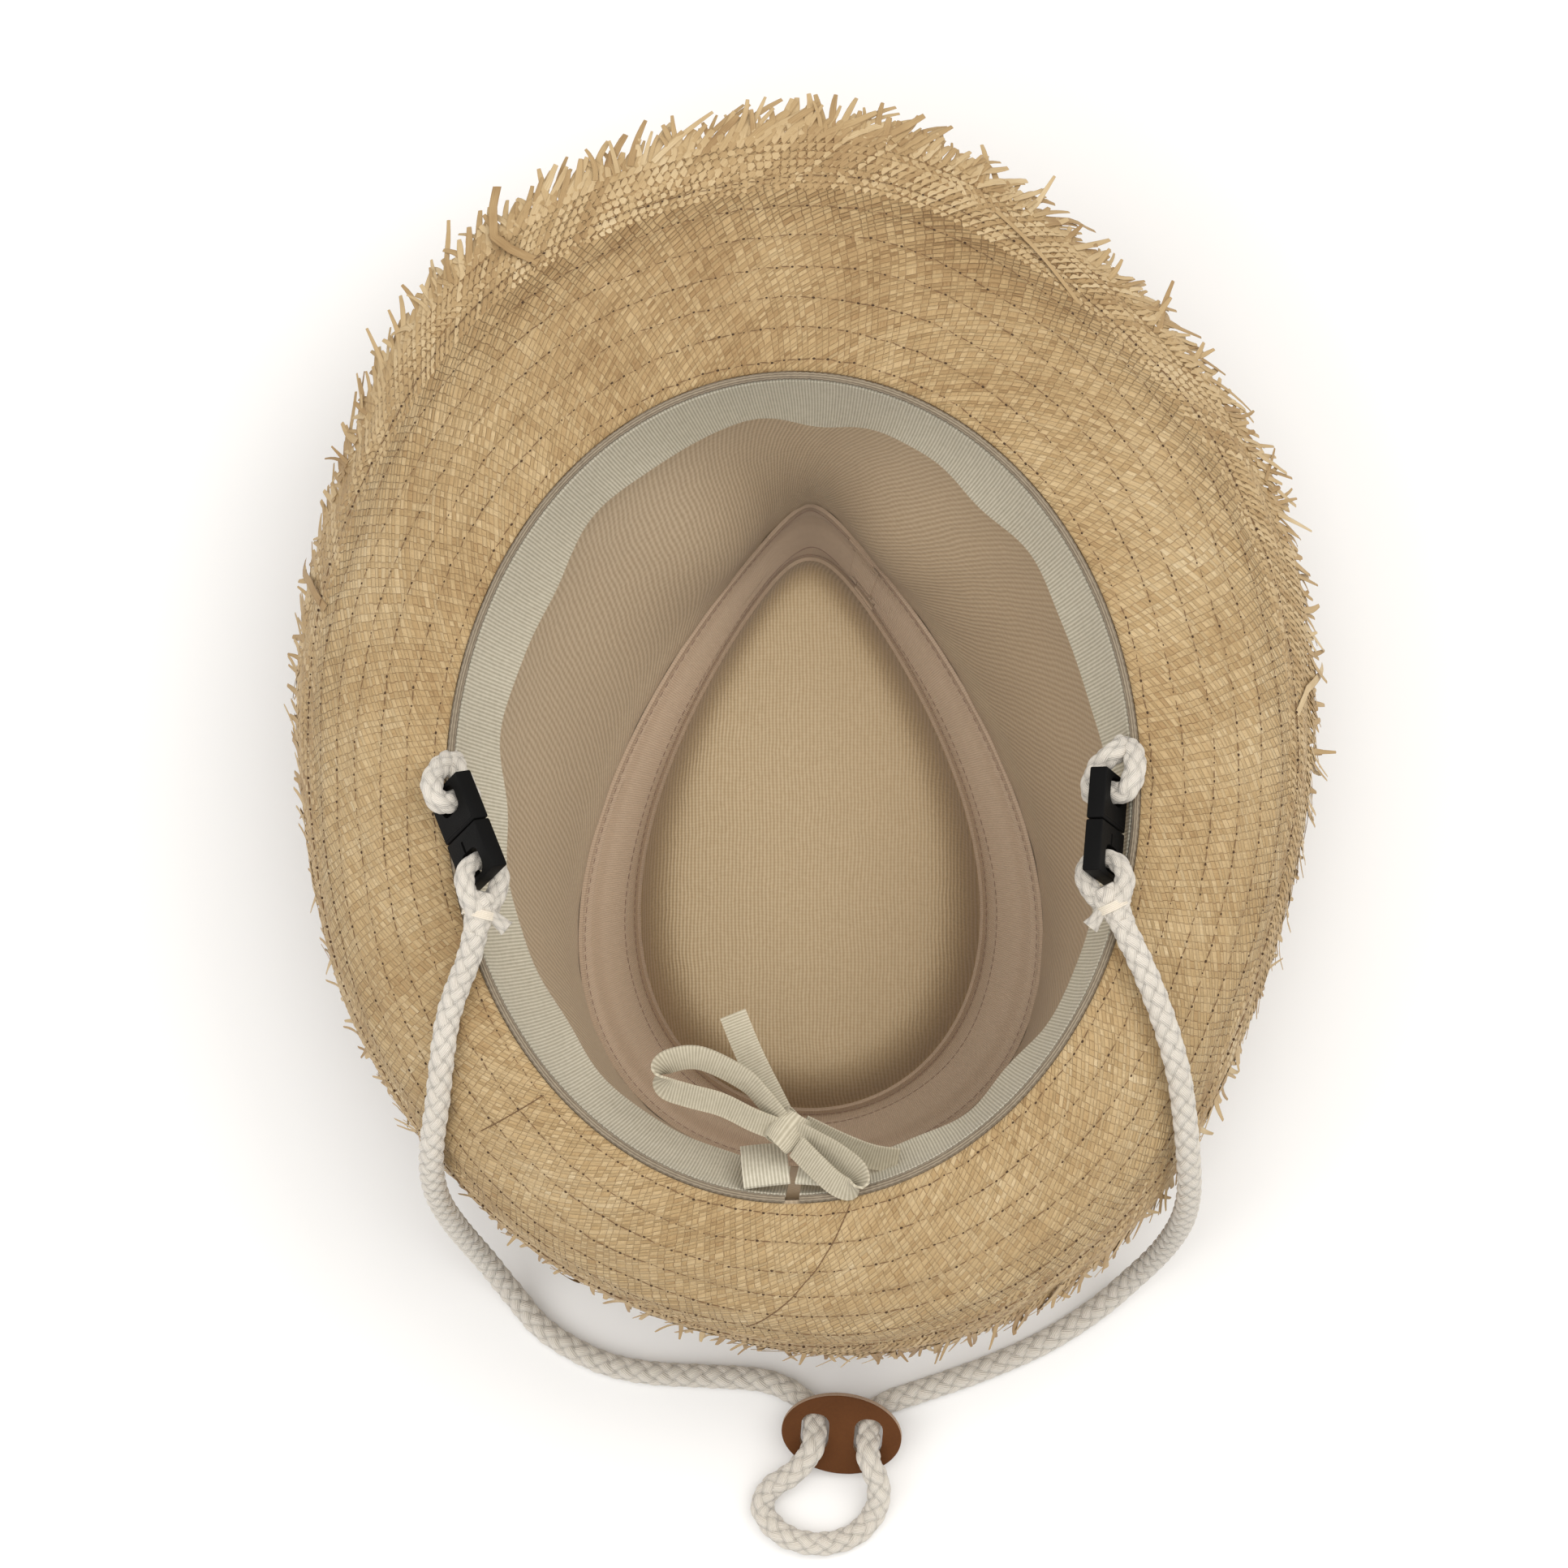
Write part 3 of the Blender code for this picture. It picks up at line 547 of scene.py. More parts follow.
    def surface(self, colour: "Wire | Colour", roughness: "Wire | float", normal: Wire | None = None,
                **fixed: float) -> Material:
        """Finish the material with a Principled shader.

        Args:
            colour: the base colour.
            roughness: the roughness.
            normal: the bumped normal.
            fixed: further sockets by name, with an underscore for a blank, each one number.

        Returns:
            The material.
        """
        base = colour if isinstance(colour, Wire) else (*colour, 1.0)
        inputs: dict = {"Base Color": base, "Roughness": roughness}
        if normal is not None:
            inputs["Normal"] = normal
        inputs.update({key.replace("_", " "): value for key, value in fixed.items()})
        shader = self.node("ShaderNodeBsdfPrincipled", {}, inputs)
        end = self.tree.nodes.new("ShaderNodeOutputMaterial")
        self.tree.links.new(shader.socket, end.inputs["Surface"])
        return self.material


# Finishes


class Lie(Enum):
    """How the straw's two strand directions lie on a piece."""

    ROUND = "on the bias round the hat"
    FLAT = "straight over a flat piece"


STRAW_TONES = (
    (0.00, (0.180, 0.092, 0.034)), (0.22, (0.320, 0.200, 0.088)), (0.50, (0.435, 0.300, 0.147)),
    (0.78, (0.530, 0.392, 0.216)), (1.00, (0.640, 0.515, 0.325)),
)
# The colour that painted shade in the weave's gaps, holes and creases darkens towards.
STRAW_SHADE = (0.135, 0.062, 0.022)
# The colour that painted shade along the loose strands' edges blends towards.
STRAND_EDGE = (0.150, 0.072, 0.026)


@dataclass(frozen=True)
class StrawWeave:
    """Flat straw in plain weave, pressed smooth or left coarse.

    The piece's first coordinate is its turn round the hat or metres, the second is metres.
    """

    name: str
    lie: Lie
    strands_round: float = 360.0
    strands_out: float = 480.0
    strand_width: float = 0.0018
    flat_turn: float = math.radians(42)
    coarse_from: float = 1.0
    coarse_to: float = 2.0
    rows_until: float = 0.0
    darker_near_mouth_to: float = 0.0

    def make(self) -> Material:
        """Build the material.

        Returns:
            The material.
        """
        board = Board(self.name)
        u, v = board.uv()
        place = board.place()
        drift = board.noise(place, 22.0, 1.0) - 0.5
        sway = board.noise(place, 120.0, 1.0) - 0.5
        if self.lie is Lie.ROUND:
            p = u * self.strands_round - v * self.strands_out
            q = u * self.strands_round + v * self.strands_out
        else:
            level, steep = math.cos(self.flat_turn), math.sin(self.flat_turn)
            p = (u * level + v * steep) / self.strand_width
            q = (v * level - u * steep) / self.strand_width
        p = p + drift * 2.6 + sway * 0.55
        q = q - drift * 2.2 + sway * 0.50
        p = p + ((p * 1.7).wave() + (p * 0.61).wave()) * 0.16
        q = q + ((q * 1.9).wave() + (q * 0.53).wave()) * 0.16
        i, j = p.floor(), q.floor()
        across_p, across_q = p.off_middle(), q.off_middle()
        over = (i + j).odd()
        crown_p = (1 - across_p ** 5) * (1 - 0.5 * across_q ** 2)
        crown_q = (1 - across_q ** 5) * (1 - 0.5 * across_p ** 2)
        height = over.choose(crown_p, crown_q)
        tone = over.choose(board.chance(i, 3.0), board.chance(j, 11.0))
        cell = board.chance(i, j)
        along = over.choose(p, q)
        beside = over.choose(q, p)
        fibre = board.noise(board.join(along * 8, beside * 0.45, tone * 40), 1.0, 2.0)
        patch = board.noise(place, 40.0, 2.0)
        mix = 0.60 + (tone - 0.5) * 0.28 + (cell - 0.5) * 0.20
        mix = mix + (fibre - 0.5) * 0.46 + (patch - 0.5) * 0.50
        if self.darker_near_mouth_to > 0:
            # The straw is darker near the mouth, out to this many metres from it, and darker towards the
            # front (+Y).
            front = board.part(place, 1).eased(0.055, 0.115)
            mix = mix - (1 - v.eased(0.0, self.darker_near_mouth_to)) * 0.06 - front * 0.22
        colour = board.ramp(mix, STRAW_TONES)
        coarse = v.eased(self.coarse_from, self.coarse_to)
        edge = over.choose(across_p, across_q)
        broken = board.chance(i + 3.0, j) * 0.9 + 0.35
        # Painted shade: the gaps along the strands' edges and the small holes where they cross darken towards
        # STRAW_SHADE, more in the coarse zone.
        gap = edge.eased(0.68, 1.0) * (0.50 + coarse * 0.12) * broken
        hole = (across_p * across_q).eased(0.60, 0.92) * (0.45 + coarse * 0.35) * board.chance(i, j + 7.0)
        dark = 1 - board.math("MAXIMUM", gap, hole)
        if self.rows_until > 0:
            row = ((v + sway * 0.0006 - FORM.row_start) / FORM.row_apart + 0.5).fract() - 0.5
            inside = 1 - v.above(self.rows_until)
            # Painted shade: the creases along the stitch rows, and the sheet past coarse_to that lies under
            # the rim's loose strands, are darkened too.
            crease = (1 - row.size().eased(0.01, 0.09)) * inside
            under = v.eased(self.coarse_to, self.coarse_to + 0.004)
            dark = dark * (1 - crease * 0.12) * (1 - under * 0.12)
            height = height * (1 - crease * 0.6)
        colour = board.blend(1 - dark, colour, STRAW_SHADE)
        lumps = board.noise(place, 240.0, 1.0)
        relief = height * (0.45 + coarse * 0.55) + lumps * 0.35 + (fibre - 0.5) * 0.5
        return board.surface(colour, 0.56 + fibre * 0.2, board.bump(relief, 0.00060, 0.9),
                             Specular_IOR_Level=0.3)


@dataclass(frozen=True)
class StrandStraw:
    """Single strands of straw: the first coordinate counts the strands, the second runs along them."""

    name: str
    lift: float = 0.04

    def make(self) -> Material:
        """Build the material.

        Returns:
            The material.
        """
        board = Board(self.name)
        u, v = board.uv()
        tone = board.chance(u.floor(), 5.0)
        fibre = board.noise(board.join(u * 14, v * 160), 1.0, 2.0)
        place = board.place()
        stain = board.noise(place, 70.0, 2.0)
        rear = 1 - board.part(place, 1).eased(-0.145, -0.105)
        mix = 0.5 + (tone - 0.5) * 0.50 + (fibre - 0.5) * 0.60 + (stain - 0.5) * 0.6 + self.lift - rear * 0.10
        colour = board.ramp(mix, STRAW_TONES)
        # Painted shade: darker along each strand's edges, where it meets the gaps between strands.
        side = u.off_middle().eased(0.62, 1.0)
        colour = board.blend(side * 0.36, colour, STRAND_EDGE)
        return board.surface(colour, 0.50 + fibre * 0.2, board.bump(fibre, 0.00015, 0.7),
                             Specular_IOR_Level=0.35)


@dataclass(frozen=True)
class LiningTwill:
    """Fine ribbed twill whose ribs waver, over the crown's wall or its tip."""

    name: str
    tones: tuple[Colour, Colour]
    ribs: float
    slant: float
    threads: float = 1250.0
    # The brown that the painted shade on the +X side of the lining blends towards.
    painted_shade_colour: Colour = (0.33, 0.225, 0.130)

    def make(self) -> Material:
        """Build the material.

        Returns:
            The material.
        """
        board = Board(self.name)
        u, v = board.uv()
        place = board.place()
        waver = board.noise(place, 34.0, 2.0) - 0.5
        small = board.noise(place, 160.0, 1.0) - 0.5
        rib = u * self.ribs + v * self.slant + waver * 2.4 + small * 0.5
        ridge = rib.swing()
        thread = (v * self.threads + small * 2).off_middle()
        grain = board.noise(place, 900.0, 2.0)
        broad = board.noise(place, 12.0, 2.0)
        low, high = self.tones
        # Painted shade: the ribs' and threads' valleys take the darker tone and their crests the lighter one;
        # the grain's share is the cloth's own.
        colour = board.blend((ridge * 0.45 + thread * 0.15 + grain * 0.40).eased(0.10, 0.90), low, high)
        colour = board.shade(colour, 0.93 + broad * 0.14)
        # Painted shade: the cloth turns darker and browner towards +X, where the inside wall of the crown
        # lies in shade.
        painted_shade = board.part(place, 0).eased(-0.02, 0.075)
        colour = board.blend(painted_shade * 0.42, colour, self.painted_shade_colour)
        relief = ridge * 0.7 + thread * 0.25 + grain * 0.2
        return board.surface(colour, 0.78, board.bump(relief, 0.00022, 0.8), Specular_IOR_Level=0.22,
                             Sheen_Weight=0.15, Sheen_Roughness=0.5)


@dataclass(frozen=True)
class Grosgrain:
    """Corded ribbon: ribs across its width, closer thread along its edges."""

    name: str
    tones: tuple[Colour, Colour]
    pitch: float = 0.00062
    width: float = 0.0
    # How much painted shade darkens the ribbon towards the front (+Y).
    painted_shade: float = 0.0
    threads: float = 2600.0

    def make(self) -> Material:
        """Build the material; the first coordinate runs along the ribbon, the second across it, in metres.

        Returns:
            The material.
        """
        board = Board(self.name)
        u, v = board.uv()
        place = board.place()
        waver = board.noise(place, 60.0, 1.0) - 0.5
        rib = (u / self.pitch + waver * 0.5).swing()
        thread = (v * self.threads + (u / self.pitch).floor() * 0.5).swing()
        grain = board.noise(place, 700.0, 2.0)
        broad = board.noise(place, 18.0, 2.0)
        low, high = self.tones
        # Painted shade and highlight: the ribs' valleys take the darker tone and their crests the lighter
        # one; the grain's share is the ribbon's own.
        colour = board.blend(rib * 0.6 + grain * 0.4, low, high)
        dark = 0.94 + broad * 0.12
        relief = rib * 0.8 + thread * 0.12 + grain * 0.12
        if self.painted_shade:
            # Painted shade: the ribbon is darker towards the front (+Y), where the inside of the crown lies
            # in shade.
            front = board.part(place, 1).eased(0.03, 0.12)
            dark = dark * (1 - front * self.painted_shade)
        if self.width:
            edge = (v - self.width / 2).size().eased(self.width / 2 - 0.0009, self.width / 2 - 0.0004)
            relief = relief * (1 - edge * 0.5) + edge * 0.35
        colour = board.shade(colour, dark)
        return board.surface(colour, 0.74, board.bump(relief, 0.00020, 0.8), Specular_IOR_Level=0.25,
                             Sheen_Weight=0.12, Sheen_Roughness=0.5)


# What several pieces share: the braid's count and pitch, steps along ribbons and ropes, and how close points
# lie that become one at a tip's middle.
BRAID_STRANDS = 4.0
BRAID_PITCH = 0.0050
RIBBON_STEP = 0.0007
ROPE_STEP = 0.0005
POLE_MERGE = 2e-5


@dataclass(frozen=True)
class BraidCotton:
    """Soft white cotton braid: the first coordinate is round it, the second along it in metres."""

    name: str
    strands: float = BRAID_STRANDS
    pitch: float = BRAID_PITCH
    # The darker tone stands both for soil and, in the plies' grooves, for painted shade.
    soiled_and_shaded: Colour = (0.53, 0.47, 0.39)
    clean: Colour = (0.81, 0.77, 0.70)

    def make(self) -> Material:
        """Build the material.

        Returns:
            The material.
        """
        board = Board(self.name)
        u, v = board.uv()
        place = board.place()
        a = u * self.strands + v / self.pitch
        b = u * self.strands - v / self.pitch
        over = (a.floor() + b.floor()).odd()
        yarn = over.choose((a * 7 + b * 1.5).swing(), (b * 7 + a * 1.5).swing())
        side_a, side_b = a.off_middle(), b.off_middle()
        side = over.choose(side_a, side_b)
        fuzz = board.noise(place, 1400.0, 3.0)
        soil = board.noise(place, 60.0, 3.0)
        # Painted shade: the plies' grooves (yarn) lean to the darker tone; the soil noise is real dirt.
        colour = board.blend(yarn * 0.30 + fuzz * 0.35 + soil * 0.35, self.soiled_and_shaded, self.clean)
        # Painted shade: darker along each strand's sides and, at random crossings, where one strand tucks
        # under the other.
        tuck = (side_a * side_b).eased(0.30, 0.95) * board.chance(a.floor(), b.floor()) * 0.34
        colour = board.shade(colour, (1 - side.eased(0.35, 1.05) * 0.17) * (1 - tuck))
        relief = yarn * 0.5 + fuzz * 0.5 - side.eased(0.30, 1.0) * 1.4
        return board.surface(colour, 0.88, board.bump(relief, 0.00034, 0.85), Specular_IOR_Level=0.15,
                             Sheen_Weight=0.35, Sheen_Roughness=0.6)


@dataclass(frozen=True)
class PlainFinish:
    """A moulded, cut or spun surface with fine grain and slight wear."""

    name: str
    low: Colour
    high: Colour
    rough_low: float
    rough_high: float
    grain: float = 900.0
    depth: float = 0.00006
    specular: float = 0.4

    def make(self) -> Material:
        """Build the material.

        Returns:
            The material.
        """
        board = Board(self.name)
        place = board.place()
        grain = board.noise(place, self.grain, 3.0)
        broad = board.noise(place, self.grain / 14, 3.0)
        scuff = broad.eased(0.55, 0.75)
        colour = board.blend(grain * 0.45 + broad * 0.55, self.low, self.high)
        rough = self.rough_low + (grain * 0.6 + scuff * 0.4) * (self.rough_high - self.rough_low)
        return board.surface(colour, rough, board.bump(grain, self.depth, 0.7),
                             Specular_IOR_Level=self.specular)


@dataclass(frozen=True)
class SliderLeather:
    """Brown leather with fine pores and a paler cut edge, which faces sideways."""

    name: str
    face: tuple[Colour, Colour] = ((0.072, 0.025, 0.007), (0.145, 0.054, 0.017))
    edge: tuple[Colour, Colour] = ((0.30, 0.19, 0.12), (0.56, 0.43, 0.33))

    def make(self) -> Material:
        """Build the material; the second coordinate is nothing on the faces and one on the cut edge.

        Returns:
            The material.
        """
        board = Board(self.name)
        place = board.place()
        _, cut = board.uv()
        pores = board.node("ShaderNodeTexVoronoi", {}, {"Vector": place, "Scale": 2300.0}, "Distance")
        grain = board.noise(place, 1500.0, 4.0)
        broad = board.noise(place, 90.0, 3.0)
        face = board.blend(grain * 0.4 + broad * 0.6, *self.face)
        fibre = board.noise(place, 2600.0, 3.0)
        rim = board.blend(fibre, *self.edge)
        colour = board.blend(cut.eased(0.35, 0.65), face, rim)
        rough = 0.60 + grain * 0.12 + cut * 0.18
        relief = pores * 0.5 + grain * 0.5
        return board.surface(colour, rough, board.bump(relief, 0.00012, 0.7), Specular_IOR_Level=0.12)


# The bench: pieces from primitives, and what they share


class Bench:
    """Ways to make, place and finish one piece."""

    @staticmethod
    def clear() -> None:
        """Leave edit mode and select nothing."""
        if bpy.context.object and bpy.context.object.mode != "OBJECT":
            bpy.ops.object.mode_set(mode="OBJECT")
        bpy.ops.object.select_all(action="DESELECT")

    @staticmethod
    def pick(piece: Piece) -> None:
        """Select one piece alone and make it active.

        Args:
            piece: the piece.
        """
        Bench.clear()
        piece.select_set(True)
        bpy.context.view_layer.objects.active = piece

    @staticmethod
    def patch(name: str, across: int, along: int, shape: Shape, chart: Shape, facing: Shape,
              merge: float = 1e-6) -> Piece:
        """Add a grid and lay it on a surface.

        Args:
            name: the piece's name.
            across: faces in the first direction.
            along: faces in the second direction.
            shape: points for the grid's two shares, both from nothing to one.
            chart: surface coordinates for the same shares.
            facing: a direction that its faces should look in, for points and normals.
            merge: points this close become one, which closes seams and poles.

        Returns:
            The piece, one sheet of faces.
        """
        Bench.clear()
        bpy.ops.mesh.primitive_grid_add(x_subdivisions=across, y_subdivisions=along, size=1,
                                        location=(0, 0, 0))
        piece = bpy.context.object
        piece.name = piece.data.name = name
        mesh = piece.data
        flat = np.empty(len(mesh.vertices) * 3)
        mesh.vertices.foreach_get("co", flat)
        a, b = np.clip(flat[0::3] + 0.5, 0, 1), np.clip(flat[1::3] + 0.5, 0, 1)
        mesh.vertices.foreach_set("co", shape(a, b).ravel())
        Bench.write_chart(mesh, chart(a, b))
        mesh.update()
        sample = range(0, len(mesh.polygons), 37)
        normals = np.array([mesh.polygons[k].normal for k in sample])
        centres = np.array([mesh.polygons[k].center for k in sample])
        wrong = np.sum(normals * facing(centres, normals)) < 0
        bpy.ops.object.mode_set(mode="EDIT")
        bpy.ops.mesh.select_all(action="SELECT")
        if wrong:
            bpy.ops.mesh.flip_normals()
        if merge:
            bpy.ops.mesh.remove_doubles(threshold=merge)
        bpy.ops.object.mode_set(mode="OBJECT")
        return piece

    @staticmethod
    def mend(piece: Piece, merge: float = 0.0) -> None:
        """Join points that lie within the merge length and turn all faces outwards.

        Args:
            piece: the piece.
            merge: points this close become one.
        """
        Bench.pick(piece)
        bpy.ops.object.mode_set(mode="EDIT")
        bpy.ops.mesh.select_all(action="SELECT")
        if merge:
            bpy.ops.mesh.remove_doubles(threshold=merge)
        bpy.ops.mesh.normals_make_consistent(inside=False)
        bpy.ops.object.mode_set(mode="OBJECT")

    @staticmethod
    def stands_up(edge: bpy.types.MeshEdge, mesh: bpy.types.Mesh) -> bool:
        """Say whether an edge runs along Z."""
        first, second = (mesh.vertices[k].co for k in edge.vertices)
        return abs(first.z - second.z) > 0.9 * (first - second).length

    @staticmethod
    def lies_flat(edge: bpy.types.MeshEdge, mesh: bpy.types.Mesh) -> bool:
        """Say whether an edge doesn't run along Z."""
        return not Bench.stands_up(edge, mesh)

    @staticmethod
    def round_edges(piece: Piece, radius: float, segments: int, only: EdgeTest | None = None) -> None:
        """Bevel the active piece's edges.

        Args:
            piece: the piece, in object mode.
            radius: the bevel's width.
            segments: facets in each rounded edge.
            only: picks the edges to round, all where it is left out.
        """
        bpy.ops.object.mode_set(mode="EDIT")
        bpy.ops.mesh.select_mode(type="EDGE")
        bpy.ops.mesh.select_all(action="DESELECT")
        bpy.ops.object.mode_set(mode="OBJECT")
        for edge in piece.data.edges:
            edge.select = only is None or only(edge, piece.data)
        bpy.ops.object.mode_set(mode="EDIT")
        bpy.ops.mesh.bevel(offset=radius, segments=segments, affect="EDGES")
        bpy.ops.mesh.select_mode(type="VERT")
        bpy.ops.object.mode_set(mode="OBJECT")

    @staticmethod
    def thicken(piece: Piece, thickness: float, offset: float = -1.0) -> None:
        """Give a sheet its thickness.

        Args:
            piece: the piece.
            thickness: the wall's thickness.
            offset: -1 for a wall behind the sheet, nothing for one on both sides.
        """
        Bench.pick(piece)
        wall = piece.modifiers.new("wall", "SOLIDIFY")
        wall.thickness = thickness
        wall.offset = offset
        wall.use_even_offset = False
        bpy.ops.object.modifier_apply(modifier=wall.name)

    @staticmethod
    def smooth(piece: Piece, angle: float = 40.0) -> None:
        """Shade a piece smooth but for its sharp edges."""
        Bench.pick(piece)
        bpy.ops.object.shade_smooth_by_angle(angle=math.radians(angle))

    @staticmethod
    def carve(piece: Piece, cutter: Piece, way: str = "DIFFERENCE") -> None:
        """Cut or add another shape and remove it.

        Args:
            piece: the piece.
            cutter: the other shape.
            way: the Boolean's operation.
        """
        Bench.pick(piece)
        change = piece.modifiers.new("change", "BOOLEAN")
        change.operation = way
        change.solver = "EXACT"
        change.object = cutter
        bpy.ops.object.modifier_apply(modifier=change.name)
        bpy.data.objects.remove(cutter, do_unlink=True)

    @staticmethod
    def block(name: str, size: Sequence[float], centre: Sequence[float], bevel: float, segments: int,
              only: EdgeTest | None = None) -> Piece:
        """Add a cube at its size and place and round its edges.

        Args:
            name: the piece's name.
            size: its three sides.
            centre: its middle.
            bevel: the radius of the edges.
            segments: facets in each rounded edge.
            only: picks the edges to round, all where it is left out.

        Returns:
            The block.
        """
        Bench.clear()
        bpy.ops.mesh.primitive_cube_add(size=1, location=(0, 0, 0))
        piece = bpy.context.object
        piece.name = piece.data.name = name
        piece.data.transform(Matrix.Translation(centre) @ Matrix.Diagonal((*size, 1.0)))
        piece.data.update()
        Bench.round_edges(piece, bevel, segments, only)
        return piece

    @staticmethod
    def raw(name: str, points: Array, faces: Iterable[Sequence[int]],
            chart: Array | None = None) -> Piece:
        """Make a piece from points and faces.

        Args:
            name: the piece's name.
            points: its points, one to a row.
            faces: each face's points by their numbers.
            chart: the points' surface coordinates.

        Returns:
            The piece.
        """
        mesh = bpy.data.meshes.new(name)
        mesh.from_pydata(points.tolist(), [], list(faces))
        if chart is not None:
            Bench.write_chart(mesh, chart)
        mesh.update()
        return Bench.link(name, mesh)

    @staticmethod
    def link(name: str, data: bpy.types.ID) -> Piece:
        """Put a mesh, lamp or camera into the scene.

        Args:
            name: the object's name.
            data: the mesh, lamp or camera.

        Returns:
            The object that shows it.
        """
        piece = bpy.data.objects.new(name, data)
        bpy.context.scene.collection.objects.link(piece)
        return piece

    @staticmethod
    def write_chart(mesh: bpy.types.Mesh, chart: Array) -> None:
        """Give each point's surface coordinates to the face corners that meet there.

        Args:
            mesh: the mesh.
            chart: a pair of coordinates for each point.
        """
        corners = np.empty(len(mesh.loops), dtype=np.int32)
        mesh.loops.foreach_get("vertex_index", corners)
        layer = mesh.uv_layers[0] if mesh.uv_layers else mesh.uv_layers.new(name="UVMap")
        layer.data.foreach_set("uv", chart[corners].ravel())

    @staticmethod
    def strew(name: str, pattern: Piece, places: Sequence[Matrix]) -> Piece:
        """Copy one small shape to many places as one piece, and remove the shape.

        Args:
            name: the piece's name.
            pattern: the shape, modelled at the origin.
            places: one matrix for each copy.

        Returns:
            The piece.
        """
        mesh = pattern.data
        points = np.array([(*vert.co, 1.0) for vert in mesh.vertices])
        faces = [tuple(face.vertices) for face in mesh.polygons]
        count = len(points)
        spread = [points @ np.array(place).T for place in places]
        all_faces = [tuple(k + n * count for k in face) for n in range(len(places)) for face in faces]
        piece = Bench.raw(name, np.concatenate(spread)[:, :3], all_faces)
        bpy.data.objects.remove(pattern, do_unlink=True)
        return piece

    @staticmethod
    def spindle(radius: float, length: float) -> Piece:
        """Model one stitch: a short thread, thick in the middle and tucked in at both ends.

        Args:
            radius: half the thread's thickness.
            length: the thread's length.

        Returns:
            The stitch, along X.
        """
        Bench.clear()
        bpy.ops.mesh.primitive_uv_sphere_add(segments=6, ring_count=5, radius=1.0, location=(0, 0, 0))
        piece = bpy.context.object
        piece.data.transform(Matrix.Diagonal((radius, radius * 0.8, length / 2, 1.0)))
        piece.data.transform(Matrix.Rotation(math.pi / 2, 4, "Y"))
        return piece

    @staticmethod
    def finish(piece: Piece, material: Material, slot: str, *stands_for: str,
               angle: float = 40.0) -> Piece:
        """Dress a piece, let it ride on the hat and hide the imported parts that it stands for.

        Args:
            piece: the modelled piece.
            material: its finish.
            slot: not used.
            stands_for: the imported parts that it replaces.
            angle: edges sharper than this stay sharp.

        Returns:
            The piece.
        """
        Bench.smooth(piece, angle)
        piece.data.materials.clear()
        piece.data.materials.append(material)
        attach(piece, "root")
        if stands_for:
            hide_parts(*stands_for)
        triangles = sum(len(face.vertices) - 2 for face in piece.data.polygons)
        LOG.info("%s: %d triangles", piece.name, triangles)
        return piece


def along_path(points: Sequence[Sequence[float]], step: float) -> Array:
    """Give points at even steps on one smooth curve through a route.

    Args:
        points: the given route.
        step: about how far apart the points lie.

    Returns:
        The points.
    """
    route = np.asarray(points, dtype=float)
    ends = np.vstack([2 * route[0] - route[1], route, 2 * route[-1] - route[-2]])
    u = (np.arange(40) / 40)[:, None]
    fine = []
    for a, b, c, d in zip(ends, ends[1:], ends[2:], ends[3:]):
        fine.append(spline(a, b, c, d, u))
    line = np.vstack([*fine, route[-1:]])
    reach = reach_along(line)
    want = np.linspace(0, reach[-1], max(2, round(reach[-1] / step) + 1))
    return np.stack([np.interp(want, reach, line[:, k]) for k in range(3)], axis=1)


def carried_frames(path: Array, start: Sequence[float]) -> tuple[Array, Array, Array]:
    """Carry a cross direction along a path without twist.

    Args:
        path: the points.
        start: the cross direction to begin with.

    Returns:
        The forward, side and up directions at each point.
    """
    forward = unit(np.gradient(path, axis=0))
    side = np.empty_like(path)
    current = np.asarray(start, dtype=float)
    for k, ahead in enumerate(forward):
        current = current - ahead * current.dot(ahead)
        current /= np.linalg.norm(current)
        side[k] = current
    return forward, side, np.cross(forward, side)


def braid_relief(turn: Array, reach: Array) -> Array:
    """Give the relief of a plaited cord.

    Args:
        turn: the share of a turn round it.
        reach: metres along it.

    Returns:
        The height of whichever strand lies over the other, from nothing to one.
    """
    a = turn * BRAID_STRANDS + reach / BRAID_PITCH
    b = turn * BRAID_STRANDS - reach / BRAID_PITCH
    over = (np.floor(a) + np.floor(b)) % 2 > 0.5
    side_a, side_b = np.abs(a % 1 - 0.5) * 2, np.abs(b % 1 - 0.5) * 2
    top_a = (1 - side_a ** 2.5) * (1 - 0.5 * side_b ** 2)
    top_b = (1 - side_b ** 2.5) * (1 - 0.5 * side_a ** 2)
    return np.where(over, top_b, top_a)


def rope(name: str, path: Array, radius: Array | float, sides: int, relief: float = 0.0,
         flatten: Array | float = 1.0, start: Sequence[float] = (0.3, 0.2, 1.0)) -> Piece:
    """Make a closed round cord with a plaited surface.

    Args:
        name: the piece's name.
        path: its centre line.
        radius: its radius, or one for each point.
        sides: faces round it.
        relief: how deep the plait is, as a share of the radius.
        flatten: the share of its height to its width, or one for each point.
        start: the direction across its first end.

    Returns:
        The cord, round its path and capped at both ends.
    """
    _, side, up = carried_frames(path, start)
    reach = reach_along(path)
    turn, far = np.meshgrid(np.arange(sides + 1) / sides, reach)
    plait = braid_relief(turn, far) if relief else np.zeros_like(turn)
    size = np.broadcast_to(np.asarray(radius, float), reach.shape)[:, None] * (1 - relief + relief * plait)
    flat = np.broadcast_to(np.asarray(flatten, float), reach.shape)[:, None]
    angle = turn * FULL_TURN
    ring = side[:, None] * (size * np.cos(angle))[..., None]
    ring = ring + up[:, None] * (size * flat * np.sin(angle))[..., None]
    points = (path[:, None] + ring).reshape(-1, 3)
    chart = np.stack([turn, far], axis=-1).reshape(-1, 2)
    wide = sides + 1
    faces = [(r * wide + k, r * wide + k + 1, (r + 1) * wide + k + 1, (r + 1) * wide + k)
             for r in range(len(path) - 1) for k in range(sides)]
    last = (len(path) - 1) * wide
    faces.append(tuple(reversed(range(sides))))
    faces.append(tuple(last + k for k in range(sides)))
    piece = Bench.raw(name, points, faces, chart)
    Bench.mend(piece, 1e-7)
    return piece


